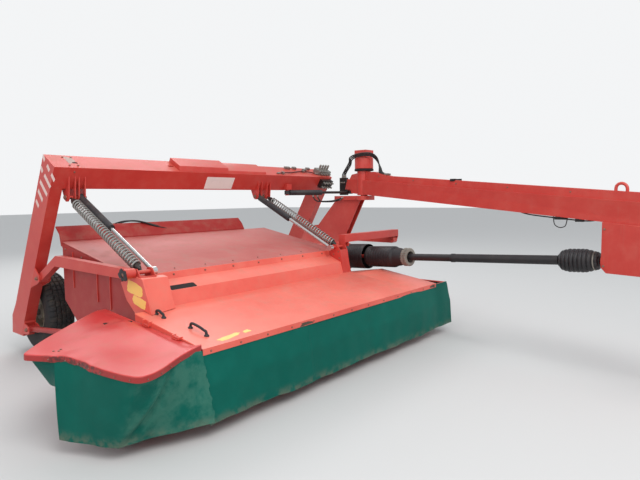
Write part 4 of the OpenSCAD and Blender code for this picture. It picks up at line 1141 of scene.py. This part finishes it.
def make_pin_heads():
    """Pin heads of the links and of the cylinders' upper ends."""
    pins = {"frame": Batch(), "header": Batch()}
    for way, on_header, on_frame in ((-1, -11, LEFT_X - 0.5), (1, 3571.5, RIGHT_X + 0.5)):
        for y, z in (PIN, (1150, 422)):
            if way < 0:
                add_turned(pins["header"], [(15, -1), (15, 4), (13, 5.5)], (on_header, y, z), (way, 0, 0), 24)
            else:
                add_bolt(pins["header"], (on_header, y, z), (way, 0, 0), 15, True)
        for y, z in ((2300, 765), (2590, 262)):
            add_bolt(pins["frame"], (on_frame, y, z), (way, 0, 0), 17, True)
    head = [(8, 0), (21, 0), (21, 5), (13, 6), (13, 12), (4, 13)]
    for x in (140.0, HOOD_END - 64, 225.0, HOOD_END - 200):
        for way in (-1, 1):
            add_turned(pins["frame"], head, (x + way * 40, *HANG), (way, 0, 0), 24)
    for body, batch in pins.items():
        batch.make(f"pin_heads_{body}", MAT["bolt"], body, "steel")


def make_drawbar_bolts():
    """Bolts on both sides of the drawbar and of its housing, and round the shaft's entry."""
    bar = Batch()
    outward = np.array([math.cos(YAW), -math.sin(YAW), 0])
    back = np.array([math.sin(YAW), math.cos(YAW), 0])
    for s in (330, 900, 1500, 2100, 2700, 3300):
        for side in (-1, 1):
            at = on_bar(s, side * (BAR_W / 2 - 25 + 0.4), 40 if s > 500 else 60)
            add_bolt(bar, at, side * outward, 7)
    for s in (3005, 3285, 3545):
        for side in (-1, 1):
            for drop in (230, 520):
                add_bolt(bar, on_bar(s, side * 90.4, -drop), side * outward, 9)
    for k in range(6):
        a = 2 * math.pi * (k + 0.5) / 6
        add_bolt(bar, on_bar(2985, 50 * math.cos(a), -490 + 50 * math.sin(a)) + back * 4.2, back, 6)
    bar.make("drawbar_bolts", MAT["bolt"], "drawbar", "steel")


def make_frame_bolts():
    """Bolts of the portal's corners and of the post's cap."""
    frame_bolts = Batch()
    for x in (120, 190, 3400, 3470):
        for across in (40, 190):
            add_bolt(frame_bolts, on_portal(x, across, 0.5), HIGH, 8)
    for x, up in ((150, -40), (178, -150), (3380, -40), (3380, -150)):
        add_bolt(frame_bolts, on_portal(x, -0.5, up), -ACROSS, 8)
    for side in (-1, 1):
        for dx in (-58, 0, 58):
            add_bolt(frame_bolts, (PIVOT[0] + dx, PIVOT[1] + side * 85.5, 1985), (0, side, 0), 8)
            add_bolt(frame_bolts, (PIVOT[0] + side * 85.5, PIVOT[1] + dx, 1985), (side, 0, 0), 8)
    frame_bolts.make("frame_bolts", MAT["bolt"], "frame", "steel")


def make_clamps():
    """Clamps, plugs and ports round the valve, and the valve's and the manifold's bodies."""
    clamps = Batch()
    lean = [(1, 0, 0), ACROSS, HIGH]
    for x, across, long in (
        (2870, 190, 90), (3000, 196, 60), (3150, 150, 60), (3260, 196, 60), (2660, 44, 30), (3090, 112, 30),
    ):
        add_box(clamps, on_portal(x, across, 13), (long, 34, 26), lean)
        for dx in (-0.32, 0.32):
            add_bolt(clamps, on_portal(x + dx * long, across, 26), HIGH, 6)
    nut = [(15, -2), (15, 12), (12, 13), (12, 20), (9, 24)]
    lever = [(8, 0), (8, 22), (12, 24), (12, 34), (6, 38)]
    port = [(13, 0), (13, 10), (9, 12), (9, 24), (12, 26), (12, 38), (6, 42)]
    for k in range(4):
        add_turned(clamps, nut, on_portal(3365 + 52 * k, 95, 106), HIGH, 6)
        add_turned(clamps, lever, on_portal(3365 + 52 * k, 41, 30), -ACROSS, 12)
    blocks = Batch()
    add_box(blocks, on_portal(3448, -28, -82), (214, 54, 104), lean)
    add_box(blocks, (3583, 1650, 1590), (52, 104, 226))
    blocks.make("valve_bodies", MAT["oiled"], "frame", "steel")
    for k in range(4):
        for up in (-52, -112):
            add_turned(clamps, port, on_portal(3370 + 52 * k, -54, up), -ACROSS, 6)
    for k in range(3):
        add_turned(clamps, [(13, 0), (13, 10), (9, 12)], (3575 + 8 * k, 1618 + 30 * k, 1702), (0, 0, 1), 6)
        add_turned(clamps, [(12, 0), (12, 10), (8, 12), (8, 24)], (3557, 1620 + 28 * k, 1640), (-1, 0, 0), 6)
    clamps.make("hose_clamps", MAT["steel"], "frame", "steel")


def make_bar_trim():
    """The seal under the post's cap, and dark blocks on top of the drawbar and under it."""
    band = Batch()
    seal = [(80, 0), (116, 0), (119, 3), (119, 24), (116, 27), (80, 27)]
    add_turned(band, seal, (*PIVOT, 1772), (0, 0, 1), 64)
    for side in (-1, 1):
        add_box(band, on_bar(1460, side * 46, 74), (12, 60, 26))
    for s, long in ((2628, 96), (2790, 64)):
        add_box(band, on_bar(s, -56, -186), (28, long, 24))
    band.make("tower_seal", MAT["dark"], "drawbar", "black_plastic")


def make_bracket_plates():
    """The left bracket's folded front plate and outer cheek, which hangs past the canopy's edge."""
    cheek = [
        (650, 648), (752, 668), (772, 640), (838, 612), (975, 716), (1048, 842), (1000, 856), (890, 900),
        (872, 905), (757, 889),
    ]
    front = [(78.0, 650, 649.5), (290.0, 692, 657.5), (282.0, 770, 882), (78.0, 757, 889)]
    top = [(78.0, 757, 889), (282.0, 770, 882), (282.0, 826, 892), (78.0, 826, 902)]
    inner = [(692, 658), (752, 668), (782, 776), (850, 800), (850, 880), (826, 890), (770, 882)]
    batch = Batch()

    def add_upright(x, outline):
        verts = [(at, y, z) for at in (x, x + 7) for y, z in outline]
        batch.add(verts, [f[::-1] for f in prism_faces(len(outline))])

    def add_slab(corners, shift):
        corners = np.array(corners)
        batch.add(np.concatenate([corners, corners + shift]), prism_faces(4))

    add_upright(71.0, cheek)
    add_slab(front, (0, 7, 3))
    add_slab(top, (0, 2, -7))
    add_upright(280.0, inner)
    plate = batch.make("bracket_plates", MAT["canopy"], "header", "faded_paint", 30)
    bevel = plate.modifiers.new("Bevel", "BEVEL")
    bevel.width, bevel.segments, bevel.limit_method = 0.002, 2, "ANGLE"

    flange = np.stack([np.linspace(22, 742, 40)] * 2, 1)
    z = np.stack([canopy_z(flange[:, 0]) - 3, in_cover(0, flange[:, 1])[:, 2] - 9], 1)
    points = np.stack([np.full(z.shape, 0.2), flange, z], -1)
    shell("canopy_side_flange", points[::-1], 3, MAT["canopy"], "header")


def make_handles():
    """Two bent rubber straps beside the cover's hinges, and the torn boot on the left link's front eye."""
    straps = Batch()
    for x, a, b, rise in ((148, 154, 324, 34), (112, 572, 662, 30)):
        za, zb = canopy_z(a), canopy_z(b)
        line = spline([
            (x, a, za - 2), (x, a + 6, za + rise * 0.8), (x, a + 26, za + rise),
            (x, (a + b) / 2, (za + zb) / 2 + rise + 4),
            (x, b - 26, zb + rise), (x, b - 6, zb + rise * 0.8), (x, b, zb - 2),
        ], 40)
        add_tube(straps, line, 9, 12, up=(1, 0, 0.1))
        for y, zz in ((a, za), (b, zb)):
            add_turned(straps, [(17, -1), (17, 4), (12, 10), (9, 14)], (x, y, zz), (0, -0.15, 0.99), 20)
    straps.make("cover_straps", MAT["rubber"], "header", "black_plastic")
    wavy = lambda a: 0.2 * np.sin(2 * a + 1) + 0.13 * np.sin(5 * a + 2) + 0.05 * np.sin(11 * a)
    torn = lambda a, h, r: wavy(a) * (r > 30)
    boot = [(16, 0), (40, 0), (46, 1), (47, 3), (42, 4), (46, 5.5), (44, 7.5), (30, 8), (16, 8)]
    at = np.array([-18.5, PIN[0], PIN[1] - 6])
    ring("link_boot", boot, MAT["rubber"], "header", "black_plastic", 90, torn, at, (1, 0, 0))


def make_markings():
    """Blank plates, stripes, worn film, and dark films of painted shade in holes and slots, where the machine
    carries them, without any words.
    """
    white, yellow, plate = Batch(), Batch(), Batch()
    stripes = [
        ((222, -8), (178, -35)), ((217, -115), (174, -143)), ((118, -49), (61, -73)), ((136, -144), (-4, -186)),
        ((27, -76), (-44, -100)), ((198, -231), (32, -274)), ((199, -320), (87, -360)), ((198, -423), (130, -448)),
    ]
    for x, way in ((LEFT_X - 0.2, -1), (RIGHT_X + 0.2, 1)):
        for k, (p, q) in enumerate(stripes):
            a, b = on_portal(x, *p), on_portal(x, *q)
            length = np.linalg.norm(b - a)
            u = (b - a) / length
            v = np.cross((way, 0, 0), u)
            outline = rounded(length, 34, 3)
            outline[:, 0] += 6 * np.sin(outline[:, 1] / 4 + k) * (np.abs(outline[:, 0]) > length / 2 - 6)
            add_patch(white, (a + b) / 2, u, v, outline, 0.5)
    white.make("leg_stripes", MAT["stripe"], "frame", "faded_paint")
    add_patch(plate, on_portal(1712, -0.3, -118), (1, 0, 0), HIGH, rounded(372, 138, 6), 1.2)
    plate.make("beam_plate", MAT["label"], "frame", "faded_paint")
    cheek = 70.8
    for at, size, seed in (((860, 812), (232, 104), 2.0), ((805, 722), (196, 78), 5.0)):
        add_patch(yellow, (cheek, *at), (0, -0.97, -0.2), (0, -0.2, 0.97), blot(*size, seed, 60, 0.05), 0.5)
    slope = math.atan2(CREASE[1] - LIP_Z, CREASE[0])
    up = (0, math.cos(slope), math.sin(slope))
    for x, y, size, seed in ((258, 66, (220, 50), 1.0), (420, 78, (70, 42), 4.0)):
        along = (0.97, 0.16 * up[1], 0.16 * up[2])
        add_patch(yellow, (x, y, canopy_z(y) + 0.3), along, up, blot(*size, seed, 60, 0.09), 0.5)
    yellow.make("worn_film", MAT["yellow"], "header", "faded_paint")
    # A dark film where the ledge has a slot: painted shade.
    holes = Batch()
    up_band = np.array([0, STEP_FOOT[0] - BAND[0], STEP_FOOT[1] - BAND[1]], float)
    add_patch(holes, (440, 812, canopy_z(812) + 0.2), (1, 0, 0), up_band, rounded(236, 62, 14), 0.4)
    holes.make("ledge_slot_shade", MAT["dark"], "header", "black_plastic")
    # Dark films where the beam has slots: painted shade.
    beam = Batch()
    for x, across in ((186, 92), (1238, 60)):
        add_patch(beam, on_portal(x, across, 0.3), (1, 0, 0), ACROSS, rounded(46, 22, 10), 0.4)
    beam.make("beam_slot_shade", MAT["dark"], "frame", "black_plastic")
    rust = Batch()
    add_patch(rust, on_portal(160, 140, 0.2), (1, 0, 0), ACROSS, blot(80, 130, 1.5), 0.3)
    rust.make("beam_scuff", MAT["scuff"], "frame", "steel")
    lip = Batch()
    add_patch(lip, (940, -0.3, 520), (1, 0, 0), (0, 0, 1), blot(150, 26, 2.5, 60, 0.16), 0.4)
    add_patch(lip, (2896, -0.3, 524), (1, 0, 0), (0, 0, 1), blot(110, 30, 4.2, 60, 0.14), 0.4)
    lip.make("lip_rust", MAT["worn"], "header", "worn_steel")


# Add-on


class MOWER_PG_detail(bpy.types.PropertyGroup):
    """Sizes of the fine pieces."""

    fold_depth: FloatProperty(
        name="Fold depth", description="Depth of a curtain's folds at its hem", default=0.012, unit="LENGTH"
    )
    rivet_pitch: FloatProperty(
        name="Rivet pitch", description="Distance between the lip's rivets", default=0.24, unit="LENGTH"
    )


class MOWER_PG_stage(bpy.types.PropertyGroup):
    """Camera, floor and light."""

    lens: FloatProperty(name="Lens", description="Focal length", default=29.05, unit="CAMERA")
    pitch: FloatProperty(name="Pitch", description="Camera tilt down in degrees", default=4.62)
    turn: FloatProperty(name="Turn", description="View direction from +X in degrees", default=39.885)
    roll: FloatProperty(name="Roll", description="Camera roll in degrees", default=-0.664)
    sky: FloatProperty(name="Sky", description="Strength of the world light", default=0.75)
    lamp: FloatProperty(name="Lamps", description="Factor on the lamps' power", default=1.0)
    floor_colour: FloatVectorProperty(
        name="Floor", description="Colour of the floor", subtype="COLOR", default=(0.62, 0.62, 0.61)
    )


class MOWER_OT_stage(bpy.types.Operator):
    """Make the floor, lamps and camera"""

    bl_idname = "mower.stage"
    bl_label = "Stage"

    def execute(self, context):
        make_stage(context.scene.mower_stage)
        return {"FINISHED"}


class MOWER_OT_materials(bpy.types.Operator):
    """Make the finishes"""

    bl_idname = "mower.materials"
    bl_label = "Materials"

    def execute(self, context):
        make_materials()
        return {"FINISHED"}


class MOWER_OT_hoses(bpy.types.Operator):
    """Make the hoses and the cable"""

    bl_idname = "mower.hoses"
    bl_label = "Hoses"

    def execute(self, context):
        make_hoses()
        return {"FINISHED"}


class MOWER_OT_steelwork(bpy.types.Operator):
    """Make the rounded skins, plates, springs and tyres"""

    bl_idname = "mower.steelwork"
    bl_label = "Steelwork"

    def execute(self, context):
        make_frame_skins()
        make_bracket_plates()
        make_springs()
        make_tyres()
        return {"FINISHED"}


class MOWER_OT_cover(bpy.types.Operator):
    """Make the side cover and the curtains"""

    bl_idname = "mower.cover"
    bl_label = "Cover and curtains"

    def execute(self, context):
        make_side_cover()
        make_curtains(context.scene.mower_detail)
        make_handles()
        return {"FINISHED"}


class MOWER_OT_guards(bpy.types.Operator):
    """Make the drive shaft's guards"""

    bl_idname = "mower.guards"
    bl_label = "Shaft guards"

    def execute(self, context):
        make_guards()
        return {"FINISHED"}


class MOWER_OT_fittings(bpy.types.Operator):
    """Make the bolts, clamps, plates and marks"""

    bl_idname = "mower.fittings"
    bl_label = "Fittings"

    def execute(self, context):
        make_fittings(context.scene.mower_detail)
        make_markings()
        return {"FINISHED"}


class MOWER_PT_panel(bpy.types.Panel):
    """Sizes and steps of the mower's scene"""

    bl_label = "Disc mower conditioner"
    bl_idname = "MOWER_PT_panel"
    bl_space_type = "VIEW_3D"
    bl_region_type = "UI"
    bl_category = "Mower"

    def draw(self, context):
        for group in (context.scene.mower_stage, context.scene.mower_detail):
            for key in group.bl_rna.properties.keys()[2:]:
                self.layout.prop(group, key)
        for operator in OPERATORS:
            self.layout.operator(operator.bl_idname)


OPERATORS = (
    MOWER_OT_stage, MOWER_OT_materials, MOWER_OT_hoses, MOWER_OT_steelwork,
    MOWER_OT_cover, MOWER_OT_guards, MOWER_OT_fittings,
)
CLASSES = (MOWER_PG_stage, MOWER_PG_detail, *OPERATORS, MOWER_PT_panel)


def register():
    for cls in CLASSES:
        bpy.utils.register_class(cls)
    bpy.types.Scene.mower_stage = PointerProperty(type=MOWER_PG_stage)
    bpy.types.Scene.mower_detail = PointerProperty(type=MOWER_PG_detail)


def unregister():
    del bpy.types.Scene.mower_stage
    del bpy.types.Scene.mower_detail
    for cls in reversed(CLASSES):
        bpy.utils.unregister_class(cls)


def main():
    register()
    bpy.ops.mower.stage()
    bpy.ops.mower.materials()
    bpy.ops.mower.hoses()
    bpy.ops.mower.steelwork()
    bpy.ops.mower.cover()
    bpy.ops.mower.guards()
    bpy.ops.mower.fittings()


if __name__ == "__main__":
    main()
